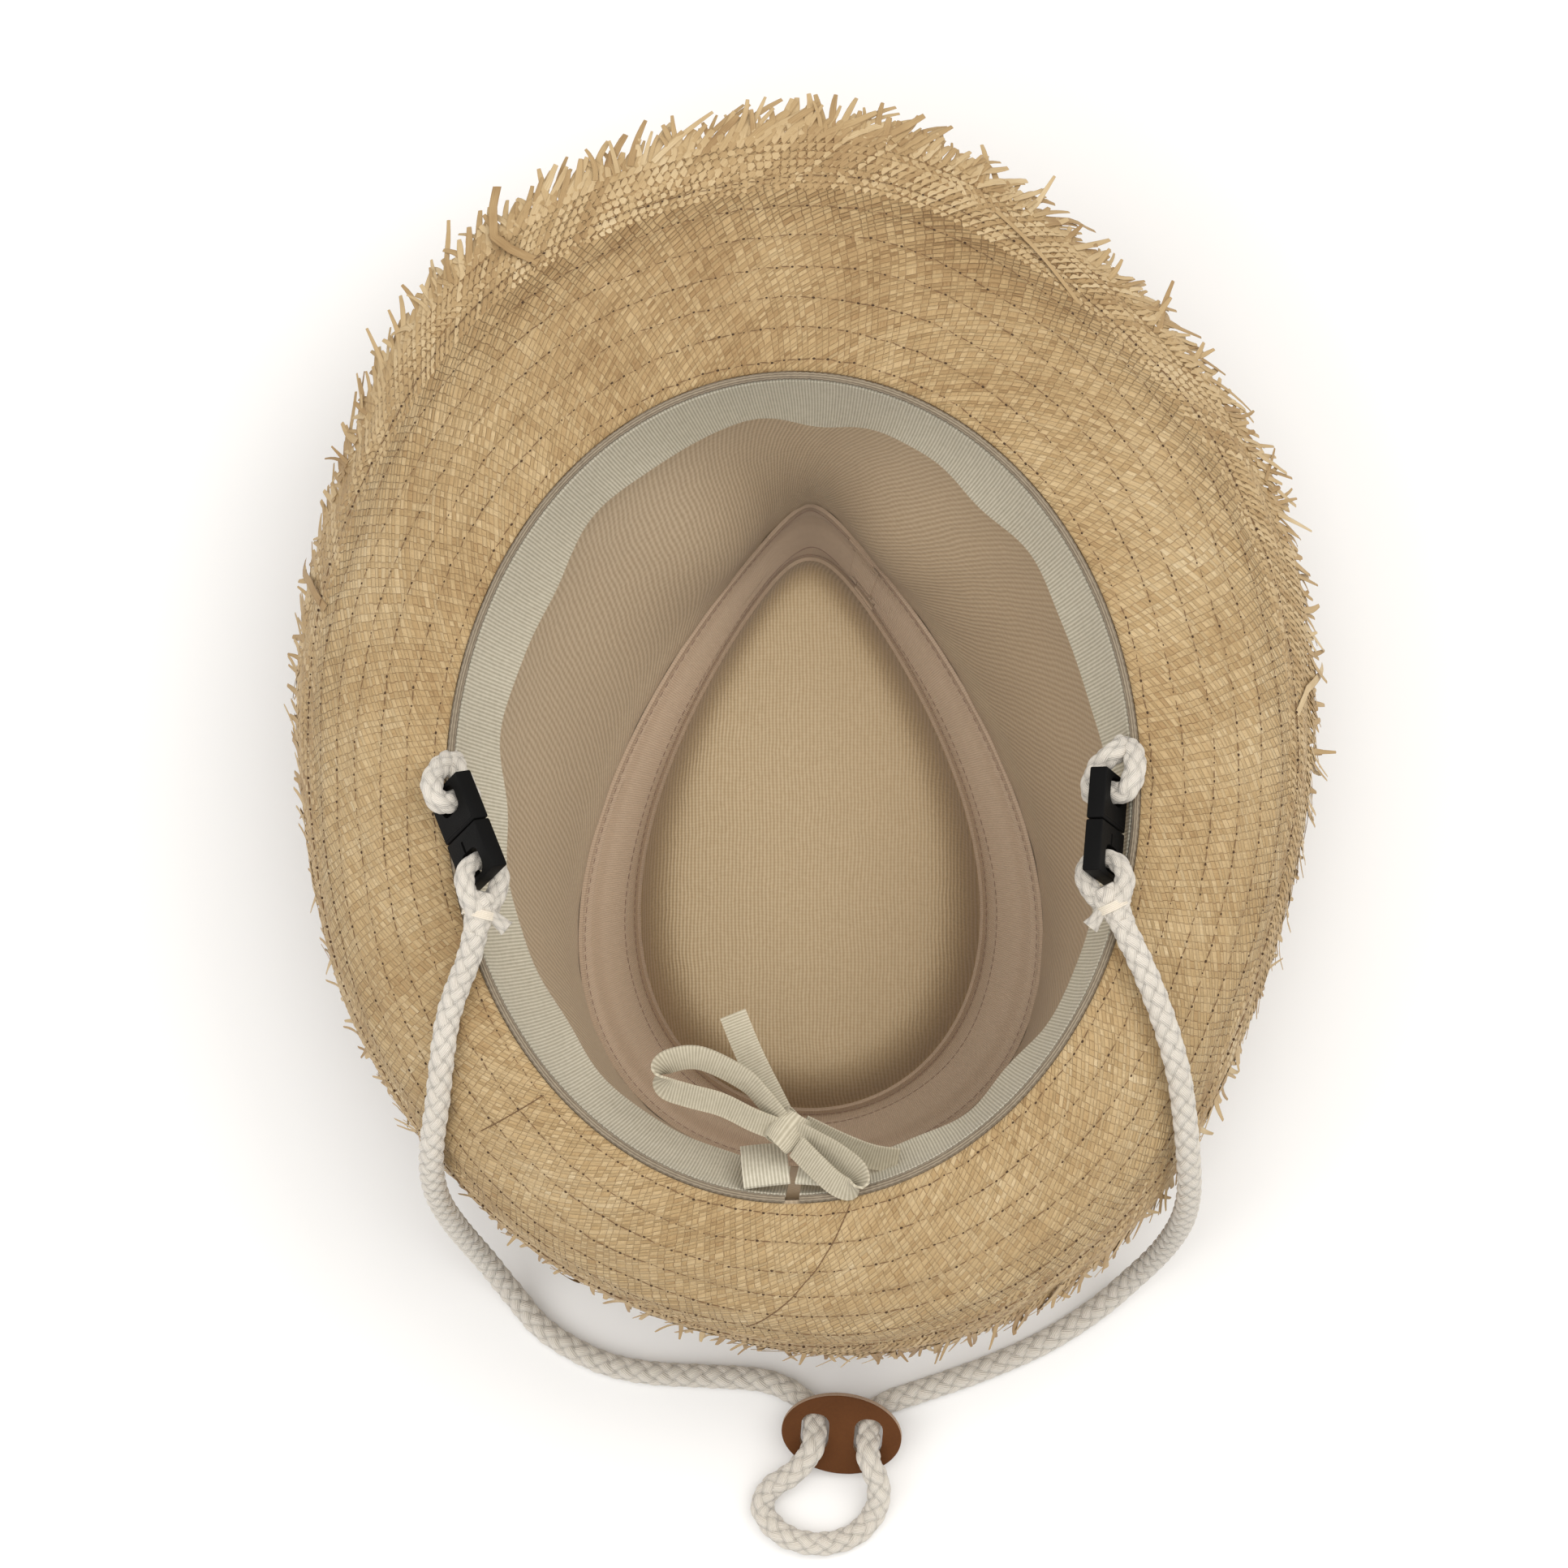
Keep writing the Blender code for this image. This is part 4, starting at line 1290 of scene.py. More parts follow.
def ribbon(name: str, points: Sequence[Sequence[float]], across: Sequence[float], width: float,
           thickness: float, upright: bool = False) -> Piece:
    """Make a flat woven ribbon along a route.

    Args:
        name: the piece's name.
        points: the route of its middle.
        across: the direction of its width.
        width: its width.
        thickness: its thickness.
        upright: whether its ribs run along it instead of across it.

    Returns:
        The ribbon, cupped a little across its width.
    """
    path = along_path(points, RIBBON_STEP)
    aim = np.asarray(across, dtype=float)
    forward = unit(np.gradient(path, axis=0))
    flat = unit(aim - forward * (forward @ aim)[:, None])
    lift = np.cross(forward, flat)
    reach = reach_along(path)
    count = len(path) - 1

    def shape(a: Array, b: Array) -> Array:
        """Lay the grid along the path, a little cupped.

        Args:
            a: shares in the grid's first direction.
            b: shares in its second direction.

        Returns:
            One point for each pair of shares.
        """
        k = np.rint(a * count).astype(int)
        cup = (np.abs(2 * b - 1) ** 2) * thickness * 0.25
        return path[k] + flat[k] * ((b - 0.5) * width)[:, None] + lift[k] * cup[:, None]

    def chart(a: Array, b: Array) -> Array:
        """Give metres along and across, swapped where the ribs stand upright."""
        pair = [reach[np.rint(a * count).astype(int)], b * width]
        return np.stack(pair[::-1] if upright else pair, axis=-1)

    piece = Bench.patch(name, count, 8, shape, chart, lambda spot, normal: normal)
    Bench.thicken(piece, thickness, 0.0)
    return piece


def upwards(spot: Array, normal: Array) -> Array:
    """Say that faces look up."""
    return np.tile([0.0, 0.0, 1.0], (len(spot), 1))


def outwards(spot: Array, normal: Array) -> Array:
    """Say that faces look away from the hat's axis.

    Args:
        spot: points on the piece.
        normal: not used.

    Returns:
        One direction for each point.
    """
    away = spot - FORM.shift
    away[:, 2] = 0
    return away


def downwards(spot: Array, normal: Array) -> Array:
    """Say that faces look down."""
    return -upwards(spot, normal)


def inwards(spot: Array, normal: Array) -> Array:
    """Say that faces look towards the hat's axis."""
    return -outwards(spot, normal)


# The straw


@dataclass
class StrawCrown:
    """The crown's straw wall and its teardrop tip."""

    round_steps: int = 288
    wall_steps: int = 44
    tip_steps: int = 40
    rear_turn: float = math.radians(172)
    wall_length: float = 0.117
    pole_share: float = 0.8

    def wall_point(self, a: Array, b: Array) -> Array:
        """Lay the wall from the mouth to the seam on the ridge, with slight unevenness.

        Args:
            a: shares in the grid's first direction.
            b: shares in its second direction.

        Returns:
            One point for each pair of shares.
        """
        top = FORM.row_below_mouth(FORM.straw + FORM.gap + 0.0006)
        end = FORM.seam(-1)
        turn = self.rear_turn + a * FULL_TURN
        uneven = 0.00025 * np.sin(17 * turn + 9 * b) * np.sin(5 * turn - 14 * b) * np.sin(np.pi * b)
        return FORM.crown(turn, top + (end - top) * b, uneven)

    def tip_point(self, a: Array, b: Array, depth: float = 0.0) -> Array:
        """Lay the tip from the seam over the dent to its middle.

        Args:
            a: shares in the grid's first direction.
            b: shares in its second direction.
            depth: metres below the outer face.

        Returns:
            One point for each pair of shares.
        """
        start = FORM.seam(1)
        turn = self.rear_turn + a * FULL_TURN
        share = np.clip(b / self.pole_share, 0, 1)
        edge = FORM.crown(turn, start + (FORM.last_row - start) * share, depth)
        middle = FORM.shift + np.array([0, FORM.ridge_shift, 1.02 * FORM.dent_depth + depth])
        inner = np.clip((b - self.pole_share) / (1 - self.pole_share), 0, 1)[:, None]
        return edge + (middle - edge) * inner

    def build(self, weave: Material, flat_weave: Material) -> None:
        """Make both pieces.

        Args:
            weave: the pressed straw's finish.
            flat_weave: the tip's finish.
        """
        def chart(a: Array, b: Array) -> Array:
            """Give the turn and the metres down the wall."""
            return np.stack([a, self.wall_length * (1 - b)], axis=-1)

        def flat_chart(a: Array, b: Array) -> Array:
            """Give the level place in metres."""
            return self.tip_point(a, b)[:, :2]

        wall = Bench.patch("crown_straw_wall", self.round_steps, self.wall_steps, self.wall_point, chart,
                           outwards)
        Bench.thicken(wall, FORM.straw)
        Bench.finish(wall, weave, "straw", "crown_side")
        tip = Bench.patch("crown_straw_tip", self.round_steps, self.tip_steps, self.tip_point, flat_chart,
                          downwards, POLE_MERGE)
        Bench.thicken(tip, FORM.straw)
        Bench.finish(tip, flat_weave, "straw", "crown_tip")


@dataclass
class StrawBrim:
    """The curled brim: its pressed sheet, the open weave at its rim, its stitch rows and loose straws."""

    round_steps: int = 560
    out_steps: int = 84
    sheet_end: float = 0.955
    weave_start: float = 0.70
    strands: int = 450
    loose_ends: int = 620
    bias: float = 0.40
    fill: float = 1.06
    strand_thickness: float = 0.00018
    over_height: float = 0.00010
    stitch_pitch: float = 0.0036
    stitch_rows: int = 7
    stitch_radius: float = 0.00017
    hole_radius: float = 0.00032
    hole_length: float = 0.0007
    seam_radius: float = 0.00024
    seam_stitch: float = 0.0017
    head_round: float = 0.575
    thin_straw: float = 0.00022
    thin_from: float = 0.66
    thin_over: float = 0.08
    rim_steps: int = 7
    widest_strand: float = 0.0025
    end_least: float = 0.0016
    end_more: tuple[float, float] = (0.0066, 0.0030)
    end_long: float = 0.0050
    end_long_from: float = 0.975
    fringe_least: float = 0.0030
    fringe_more: float = 0.0062
    fringe_rear_lift: float = 0.0024

    @staticmethod
    def rear_turn(share: Array | float) -> Array | float:
        """Give the turn of the slanting seam at the back of the brim."""
        share = np.asarray(share)
        return np.radians(170.2 + 25.5 * share - 3 * share ** 2)

    @staticmethod
    def ripple(turn: Array, share: Array) -> Array:
        """Give the pressed straw's slight waves, in metres.

        Args:
            turn: radians clockwise from the front.
            share: nothing at the crown, one at the rim.

        Returns:
            The waves' heights.
        """
        puckers = 0.00010 * np.sin(FULL_TURN * share * FORM.brim_length / 0.0074)
        waves = 0.00035 * np.sin(13 * turn + 5 * share) * np.sin(31 * share + 3 * turn)
        return (puckers + waves) * np.clip(share * 6, 0, 1)

    def build_sheet(self, weave: Material) -> None:
        """Make the pressed sheet as one closed skin that thins out under the open weave.

        Args:
            weave: the pressed straw's finish.
        """
        def fold(b: Array) -> tuple[Array, Array]:
            """Give the share out and the side for a share round the skin's section."""
            out = 1 - np.abs(2 * b - 1)
            return out, np.where(b < 0.5, 1.0, -1.0)

        def shape(a: Array, b: Array) -> Array:
            """Lay the skin up one face and back down the other.

            Args:
                a: shares in the grid's first direction.
                b: shares in its second direction.

            Returns:
                One point for each pair of shares.
            """
            out, side = fold(b)
            share = out * self.sheet_end
            thin = np.clip((share - self.thin_from) / self.thin_over, 0, 1)
            thick = FORM.straw * (1 - thin) + self.thin_straw * thin
            round_off = np.sqrt(1 - (1 - np.clip(out / 0.02, 0, 1)) ** 2)
            round_off *= np.sqrt(1 - (1 - np.clip((1 - out) / 0.02, 0, 1)) ** 2)
            turn = self.rear_turn(share) + a * FULL_TURN
            lift = side * thick / 2 * round_off + self.ripple(turn, share)
            return FORM.brim(turn, share, lift)

        def chart(a: Array, b: Array) -> Array:
            """Give the turn and the metres out from the crown."""
            return np.stack([a, fold(b)[0] * self.sheet_end * FORM.brim_length], axis=-1)

        piece = Bench.patch("brim_straw", self.round_steps, self.out_steps, shape, chart, upwards, 2e-6)
        Bench.mend(piece)
        Bench.finish(piece, weave, "straw", "brim")

    def strand_points(self, name: str, turn: Array, share: Array, lift: Array, width: Array,
                      number: Array) -> Piece:
        """Make many flat strands on the brim at once.

        Args:
            name: the piece's name.
            turn: for each strand, its turns along its length.
            share: the same for its shares out.
            lift: the same for its heights off the brim's middle.
            width: the same for its widths.
            number: one whole number for each strand, for its tone.

        Returns:
            The strands as one piece of closed strips.
        """
        middle = FORM.brim(turn, share, lift)
        normal = unit(FORM.brim(turn, share, lift + 0.0005) - middle)
        forward = np.gradient(middle, axis=1)
        forward /= np.linalg.norm(forward, axis=-1, keepdims=True) + 1e-12
        side = np.cross(normal, forward)
        reach = np.cumsum(np.linalg.norm(np.diff(middle, axis=1, prepend=middle[:, :1]), axis=-1), axis=1)
        half = (width / 2)[..., None]
        thick = self.strand_thickness / 2
        edges = [middle + side * half, middle + normal * thick, middle - side * half, middle - normal * thick]
        points = np.stack(edges, axis=2)
        count, long = turn.shape
        tone = np.broadcast_to(number[:, None, None], (count, long, 4)).astype(float)
        far = np.broadcast_to(reach[..., None], tone.shape) + number[:, None, None] * 0.37
        chart = np.stack([tone + np.array([0.04, 0.5, 0.96, 0.5]), far], axis=-1)
        faces = []
        for s in range(count):
            base = s * long * 4
            for r in range(long - 1):
                here, there = base + r * 4, base + r * 4 + 4
                for k in range(4):
                    m = (k + 1) % 4
                    faces.append((here + k, here + m, there + m, there + k))
            faces.append((base + 3, base + 2, base + 1, base))
            end = base + (long - 1) * 4
            faces.append((end, end + 1, end + 2, end + 3))
        piece = Bench.raw(name, points.reshape(-1, 3), faces, chart.reshape(-1, 2))
        Bench.mend(piece)
        return piece

    def build_rim(self, straw: Material) -> None:
        """Weave the rim's strands over and under each other and let their ends run out as a fringe.

        Args:
            straw: the loose strands' finish.
        """
        chance = np.random.default_rng(23)
        apart = FULL_TURN / self.strands
        cell = apart / (2 * self.bias)
        rim = 1.0 - self.weave_start
        inside = int(rim / cell * 2)
        for way in (1, -1):
            ahead = np.arange(self.strands) * apart + chance.uniform(-0.14, 0.14, self.strands) * apart
            run = np.arange(inside + self.rim_steps) * cell / 2
            more = self.end_more[0 if way > 0 else 1]
            length = self.end_least + more * chance.random(self.strands) ** 1.6
            length += self.end_long * (chance.random(self.strands) > self.end_long_from)
            fringe = (length / FORM.brim_length)[:, None]
            past = np.maximum(run - rim, 0)[None, :]
            share_run = np.where(past > 0, rim + past / past[:, -1:] * fringe, run[None, :])
            free = np.maximum(share_run - 0.25, 0)
            bend = chance.normal(0.06, 0.20, self.strands)[:, None]
            straighter = 0.4 if way > 0 else 0.9
            turn = ahead[:, None] + way * self.bias * (share_run - straighter * free) + bend * free
            loose = np.clip((share_run - 0.24) / 0.10, 0, 1)
            height = self.over_height * np.cos(np.pi * share_run / cell) * way * (1 - 0.6 * loose)
            curl = chance.normal(0.0002, 0.0013, self.strands)[:, None]
            curl = curl * np.clip((share_run - 0.29) / 0.10, 0, 2) ** 2
            share = self.weave_start + share_run
            lift = height + curl + self.ripple(turn, share) + way * 0.00006
            spot = FORM.brim(turn, share, 0.0)
            beside = np.linalg.norm(FORM.brim(turn + apart, share, 0.0) - spot, axis=-1)
            ahead_step = np.linalg.norm(np.gradient(spot, axis=1), axis=-1) / np.gradient(share_run, axis=1)
            slope = np.arctan2(1.0, self.bias * beside / apart / ahead_step.clip(1e-4))
            wide = self.fill * beside * np.sin(slope) * chance.uniform(0.80, 1.16, self.strands)[:, None]
            wide = np.minimum(wide, self.widest_strand)
            taper = 1 - 0.35 * np.clip((share_run - rim) / fringe, 0, 1) ** 3
            split = chance.uniform(0.93, 1.07, share.shape)
            number = np.arange(self.strands) * 2 + (way > 0)
            name = "rim_strands_clockwise" if way > 0 else "rim_strands_counter"
            piece = self.strand_points(name, turn, share, lift, wide * taper * split, number)
            Bench.finish(piece, straw, "straw", angle=60)

    def build_fringe(self, straw: Material) -> None:
        """Let short loose ends stand out of the rim, most of them leaning the same way.

        Args:
            straw: the loose strands' finish.
        """
        chance = np.random.default_rng(41)
        count = self.loose_ends
        start = (np.arange(count) + chance.uniform(-0.4, 0.4, count)) * FULL_TURN / count
        length = self.fringe_least + self.fringe_more * chance.random(count) ** 1.4
        run = np.linspace(0, 1, 7)[None, :]
        root = chance.uniform(0.955, 0.975, count)[:, None]
        share = root + run * ((length / FORM.brim_length)[:, None] + 1 - root)
        lean = chance.normal(0.17, 0.16, count)[:, None]
        bow = chance.normal(0, 0.10, count)[:, None]
        turn = start[:, None] + (share - root) * (lean + bow * run)
        rear = np.clip(-np.cos(start) - 0.2, 0, 1)[:, None]
        lift = chance.normal(0.0001, 0.0012, count)[:, None] * run ** 2
        lift = lift + self.fringe_rear_lift * rear * run ** 1.5
        lift = lift + chance.uniform(-0.0003, 0.0003, count)[:, None]
        width = chance.uniform(0.0010, 0.0021, count)[:, None] * (1 - 0.45 * run ** 3)
        piece = self.strand_points("rim_fringe", turn, share, lift, width, np.arange(count) + 2000)
        Bench.finish(piece, straw, "straw", angle=60)

    def face_point(self, turn: Array, share: Array, lift: float = 0.0) -> Array:
        """Give points on the brim's upper face or a lift above it."""
        return FORM.brim(turn, share, FORM.straw / 2 + lift + self.ripple(turn, share))

    def build_rows(self, thread: Material, hole: Material) -> None:
        """Sew the rows of small stitches round the brim.

        Args:
            thread: the stitches' finish.
            hole: the needle holes' finish.
        """
        chance = random.Random(5)
        places: list[Matrix] = []
        for k in range(self.stitch_rows):
            out = FORM.row_start + FORM.row_apart * k
            count = round((self.head_round + 4.6 * out) / self.stitch_pitch)
            turns = np.arange(count) * FULL_TURN / count + 0.05 * k
            sway = 0.0045 * np.sin(turns * 7 + k * 1.9) + 0.003 * np.sin(turns * 17 + k)
            share = out / FORM.brim_length + sway
            spots = self.face_point(turns, share)
            ahead = self.face_point(turns + 0.01, share) - spots
            above = self.face_point(turns, share, 0.001) - spots
            for place in stitch_frames(spots, ahead, above):
                slant = Matrix.Rotation(chance.uniform(-0.16, 0.16), 4, "Z")
                size = chance.uniform(0.55, 1.15)
                places.append(place @ slant @ Matrix.Diagonal((size, size, size, 1)))
        stitch = Bench.spindle(self.stitch_radius, self.stitch_pitch * 0.62)
        piece = Bench.strew("brim_stitches", stitch, places)
        Bench.finish(piece, thread, "straw", angle=80)
        # Painted shade: dark spindles between the stitches stand for the shade inside the needle holes.
        step = Matrix.Translation((self.stitch_pitch / 2, 0, 0))
        holes = [place @ step for place in places]
        piece = Bench.strew("needle_holes", Bench.spindle(self.hole_radius, self.hole_length), holes)
        Bench.finish(piece, hole, "straw", angle=80)

    def build_seams(self, thread: Material) -> None:
        """Sew the slanting seam at the back and the short one at the left.

        Args:
            thread: the stitches' finish.
        """
        places: list[Matrix] = []
        share = np.linspace(0.03, 0.66, 38)
        lines = [(self.rear_turn(share), share)]
        short = np.linspace(0.05, 0.36, 17)
        lines.append((np.radians(223.2 + 7 * short), short))
        for turn, out in lines:
            spots = self.face_point(turn, out)
            above = self.face_point(turn, out, 0.001) - spots
            places += stitch_frames(spots, np.gradient(spots, axis=0), above)
        piece = Bench.strew("brim_seams", Bench.spindle(self.seam_radius, self.seam_stitch), places)
        Bench.finish(piece, thread, "straw", angle=80)

    def build_strays(self, straw: Material) -> None:
        """Lay the few long loose straws that stand off the rim.

        Args:
            straw: the loose strands' finish.
        """
        strays = (
            ((-26.5, 1.17), (-27.8, 1.09), (-29.2, 0.97), (-28.6, 0.88), (-27, 0.76), (0.0023, 0.0014)),
            ((-64.7, 1.20), (-66.2, 1.06), (-67.2, 0.92), (-68.6, 0.82), (-69.7, 0.73), (0.0020, 0.0014)),
            ((76, 1.23), (77.4, 1.06), (79, 0.89), (80.5, 0.83), (81.7, 0.79), (0.0020, 0.0010)),
            ((20, 0.86), (23, 0.83), (26, 0.80), (29, 0.765), (32, 0.73), (0.0012, 0.0010)),
            ((150, 0.90), (152, 0.97), (153, 1.03), (155, 1.09), (156, 1.13), (0.0020, 0.0010)),
            ((-150, 0.92), (-152, 0.98), (-153, 1.04), (-153, 1.10), (-152, 1.15), (0.0018, 0.0012)),
        )
        turns, shares, lifts, widths = [], [], [], []
        steps = np.linspace(0, 4, 17)
        for *route, (width, height) in strays:
            turns.append(np.radians(np.interp(steps, range(5), [spot[0] for spot in route])))
            shares.append(np.interp(steps, range(5), [spot[1] for spot in route]))
            lifts.append(height * (0.7 + 0.3 * np.sin(steps)))
            widths.append(np.full(17, width))
        number = np.arange(len(strays)) + 900
        rows = (np.array(v) for v in (turns, shares, lifts, widths))
        piece = self.strand_points("stray_straws", *rows, number)
        Bench.finish(piece, straw, "straw", angle=60)

    def build(self, weave: Material, straw: Material, thread: Material,
              hole: Material) -> None:
        """Make all of the brim.

        Args:
            weave: the pressed straw's finish.
            straw: the loose strands' finish.
            thread: the stitches' finish.
            hole: the needle holes' finish.
        """
        self.build_sheet(weave)
        self.build_rim(straw)
        self.build_fringe(straw)
        self.build_rows(thread, hole)
        self.build_seams(thread)
        self.build_strays(straw)


# The cloth inside


@dataclass
class HatLining:
    """The cloth lining of the wall and of the tip, with the stitched tape over their seam."""

    round_steps: int = 300
    rear_turn: float = math.radians(180)
    tape_low: float = 5.05
    tape_high: float = 10.95
    tape_depth: float = 0.0010
    tape_round: float = 0.44
    lap_length: float = 0.011
    lap_depth: float = 0.0005
    wall_round: float = 0.54
    wall_drop: float = 0.112
    wall_steps: int = 52
    tip_steps: int = 44
    tape_steps: int = 28
    tape_rows: Triple = (0.12, 0.66, 0.93)
    tape_stitches: int = 205
    stitch_radius: float = 0.00016
    stitch_length: float = 0.0018

    def depth(self) -> float:
        """Give the lining's depth below the straw's outer face."""
        return FORM.straw + FORM.gap

    def build(self, wall_cloth: Material, tip_cloth: Material, tape: Material,
              thread: Material) -> None:
        """Make the wall, the tip, the tape and its stitches.

        Args:
            wall_cloth: the wall's finish.
            tip_cloth: the tip's finish.
            tape: the tape's finish.
            thread: the stitches' finish.
        """
        inner = self.depth() + FORM.lining
        top = FORM.row_below_mouth(FORM.piping + FORM.gap)
        end = FORM.seam(-1)

        def wall(a: Array, b: Array) -> Array:
            """Lay the wall's inner face, eased a little by its own slack.

            Args:
                a: shares in the grid's first direction.
                b: shares in its second direction.

            Returns:
                One point for each pair of shares.
            """
            turn = self.rear_turn + a * FULL_TURN
            slack = 0.0002 * np.sin(9 * turn + 4 * b) * np.sin(np.pi * b)
            slack = slack + 0.0001 * np.sin(33 * turn + 21 * b)
            return FORM.crown(turn, top + (end - top) * b, inner + slack - 0.0001)

        chart = chart_of(self.wall_round, self.wall_drop)
        piece = Bench.patch("lining_wall", self.round_steps, self.wall_steps, wall, chart, inwards)
        Bench.thicken(piece, FORM.lining)
        Bench.finish(piece, wall_cloth, "lining", "lining_side")

        def tip(a: Array, b: Array) -> Array:
            """Lay the tip's inner face."""
            return StrawCrown(rear_turn=self.rear_turn).tip_point(a, b, inner)

        def tip_chart(a: Array, b: Array) -> Array:
            """Give the level place in metres."""
            return tip(a, b)[:, :2]

        piece = Bench.patch("lining_top", self.round_steps, self.tip_steps, tip, tip_chart, upwards,
                            POLE_MERGE)
        Bench.thicken(piece, FORM.lining)
        Bench.finish(piece, tip_cloth, "lining", "lining_tip")
        self.build_tape(tape, thread)

    def tape_point(self, a: Array, b: Array, rise: float = 0.0) -> Array:
        """Lay the tape's upper face with the low ridge of the seam under its middle.

        Args:
            a: shares in the grid's first direction.
            b: shares in its second direction.
            rise: metres above the tape's own face.

        Returns:
            One point for each pair of shares.
        """
        turn = math.radians(34) + a * FULL_TURN
        row = self.tape_low + (self.tape_high - self.tape_low) * b
        ridge = 0.0007 * np.exp(-((b - 0.42) / 0.05) ** 2) + 0.0003 * np.exp(-((b - 0.52) / 0.03) ** 2)
        pull = 0.0004 * np.sin(np.pi * b)
        depth = self.depth() + FORM.lining + FORM.gap + self.tape_depth + ridge + pull - 0.0004 + rise
        return FORM.crown(turn, row, depth)

    def build_tape(self, tape: Material, thread: Material) -> None:
        """Make the tape, its overlapped end and its three rows of stitches.

        Args:
            tape: the tape's finish.
            thread: the stitches' finish.
        """
        chart = chart_of(self.tape_round, FORM.tape_width)
        piece = Bench.patch("tape_ring", self.round_steps, self.tape_steps, self.tape_point, chart, upwards)
        Bench.thicken(piece, self.tape_depth)
        Bench.finish(piece, tape, "seam_tape", "seam_tape")

        def lap(a: Array, b: Array) -> Array:
            """Lay the short overlapped end on the tape."""
            return self.tape_point(0.978 + 0.026 * a, 0.02 + 0.96 * b, self.lap_depth)

        chart = chart_of(self.lap_length, FORM.tape_width)
        piece = Bench.patch("tape_end", 14, self.tape_steps, lap, chart, upwards)
        Bench.thicken(piece, self.lap_depth)
        Bench.finish(piece, tape, "seam_tape")
        places: list[Matrix] = []
        for across in self.tape_rows:
            a = (np.arange(self.tape_stitches) + across) / self.tape_stitches
            b = across + 0.008 * np.sin(a * 60 + across * 9)
            spots = self.tape_point(a, b, 0.00003)
            ahead = self.tape_point(a + 0.002, b, 0.00003) - spots
            places += stitch_frames(spots, ahead, self.tape_point(a, b, 0.001) - spots)
        piece = Bench.strew("tape_stitches", Bench.spindle(self.stitch_radius, self.stitch_length), places)
        Bench.finish(piece, thread, "seam_tape", angle=80)


@dataclass
class HatBand:
    """The grosgrain sweatband, its overlocked edge and its two loose ends at the back."""

    slit: float = math.radians(1.2)
    slack_turn: float = math.radians(218)
    edge_steps: int = 1700
    length: float = 0.57
    stand: float = 0.0026
    slack: float = 0.0042
    fold: float = 0.0012
    ends_at: Triple = (0.0, -0.0978, 0.110)
    end_thickness: float = 0.0007

    def turn(self, a: Array) -> Array:
        """Give the turn round the hat for a share of the band, from one end at the back to the other."""
        return math.pi + self.slit + a * (FULL_TURN - 2 * self.slit)

    def wall_point(self, a: Array, b: Array) -> Array:
        """Lay the ribbon's inner face; its lower edge is scalloped and stands a little off the lining.

        Args:
            a: shares in the grid's first direction.
            b: shares in its second direction.

        Returns:
            One point for each pair of shares.
        """
        turn = self.turn(a)
        scallop = 0.09 * np.sin(11 * turn) + 0.06 * np.sin(6 * turn + 1.3)
        top = FORM.piping + FORM.gap
        drop = top + (FORM.band_height * (1 + scallop) - top) * b
        row = FORM.row_below_mouth(drop)
        inner = FORM.straw + FORM.lining + 2 * FORM.gap + FORM.band
        fold = 1 + 0.6 * np.sin(11 * turn + 1.2) + 0.4 * np.sin(19 * turn + 0.4)
        slack = self.slack * np.clip(np.cos(turn - self.slack_turn), 0, 1)
        stand = b ** 1.4 * (self.stand + slack + self.fold * fold * (0.7 + 0.3 * np.sin(3 * turn)))
        return FORM.crown(turn, row, inner + stand)

    def build(self, ribbon_cloth: Material, edge_cloth: Material) -> None:
        """Make the band, its edge and its ends.

        Args:
            ribbon_cloth: the band's finish.
            edge_cloth: the corded edge's finish.
        """
        chart = chart_of(self.length, FORM.band_height)
        piece = Bench.patch("sweatband_ribbon", 420, 12, self.wall_point, chart, inwards)
        Bench.thicken(piece, FORM.band * 0.8)
        Bench.finish(piece, ribbon_cloth, "grosgrain", "sweatband")
        self.build_edge(edge_cloth)
        self.build_ends(ribbon_cloth)

    def build_edge(self, edge_cloth: Material) -> None:
        """Make the corded edge: a roll wound closely with thread.

        Args:
            edge_cloth: the corded edge's finish.
        """
        centre, _ = FORM.mouth(self.turn(np.linspace(0, 1, self.edge_steps)))
        centre[:, 2] += FORM.gap
        wound = FORM.piping * (1.0 + 0.10 * np.sin(FULL_TURN * np.arange(self.edge_steps) / 5.0))
        piece = rope("sweatband_edge", centre, wound, 8, start=(0, 0, 1))
        Bench.finish(piece, edge_cloth, "grosgrain", "sweatband_cord", angle=60)

    def build_ends(self, ribbon_cloth: Material) -> None:
        """Make the two flaps where the band's ends turn back at the rear.

        Args:
            ribbon_cloth: the band's finish.
        """
        back = FORM.shift + np.array(self.ends_at)
        left = [(-0.0060, 0.0010, 0.0002), (-0.0066, 0.0050, -0.0030), (-0.0072, 0.0088, -0.0090),
                (-0.0078, 0.0112, -0.0150)]
        right = [(0.0058, 0.0012, 0.0000), (0.0062, 0.0034, -0.0020), (0.0066, 0.0060, -0.0060),
                 (0.0068, 0.0080, -0.0100)]
        for name, route, width in (("band_end_left", left, 0.0112), ("band_end_right", right, 0.0104)):
            hang = [back + np.array(spot) for spot in route]
            piece = ribbon(name, hang, (1.0, 0.06, 0.0), width, self.end_thickness, True)
            Bench.finish(piece, ribbon_cloth, "grosgrain")


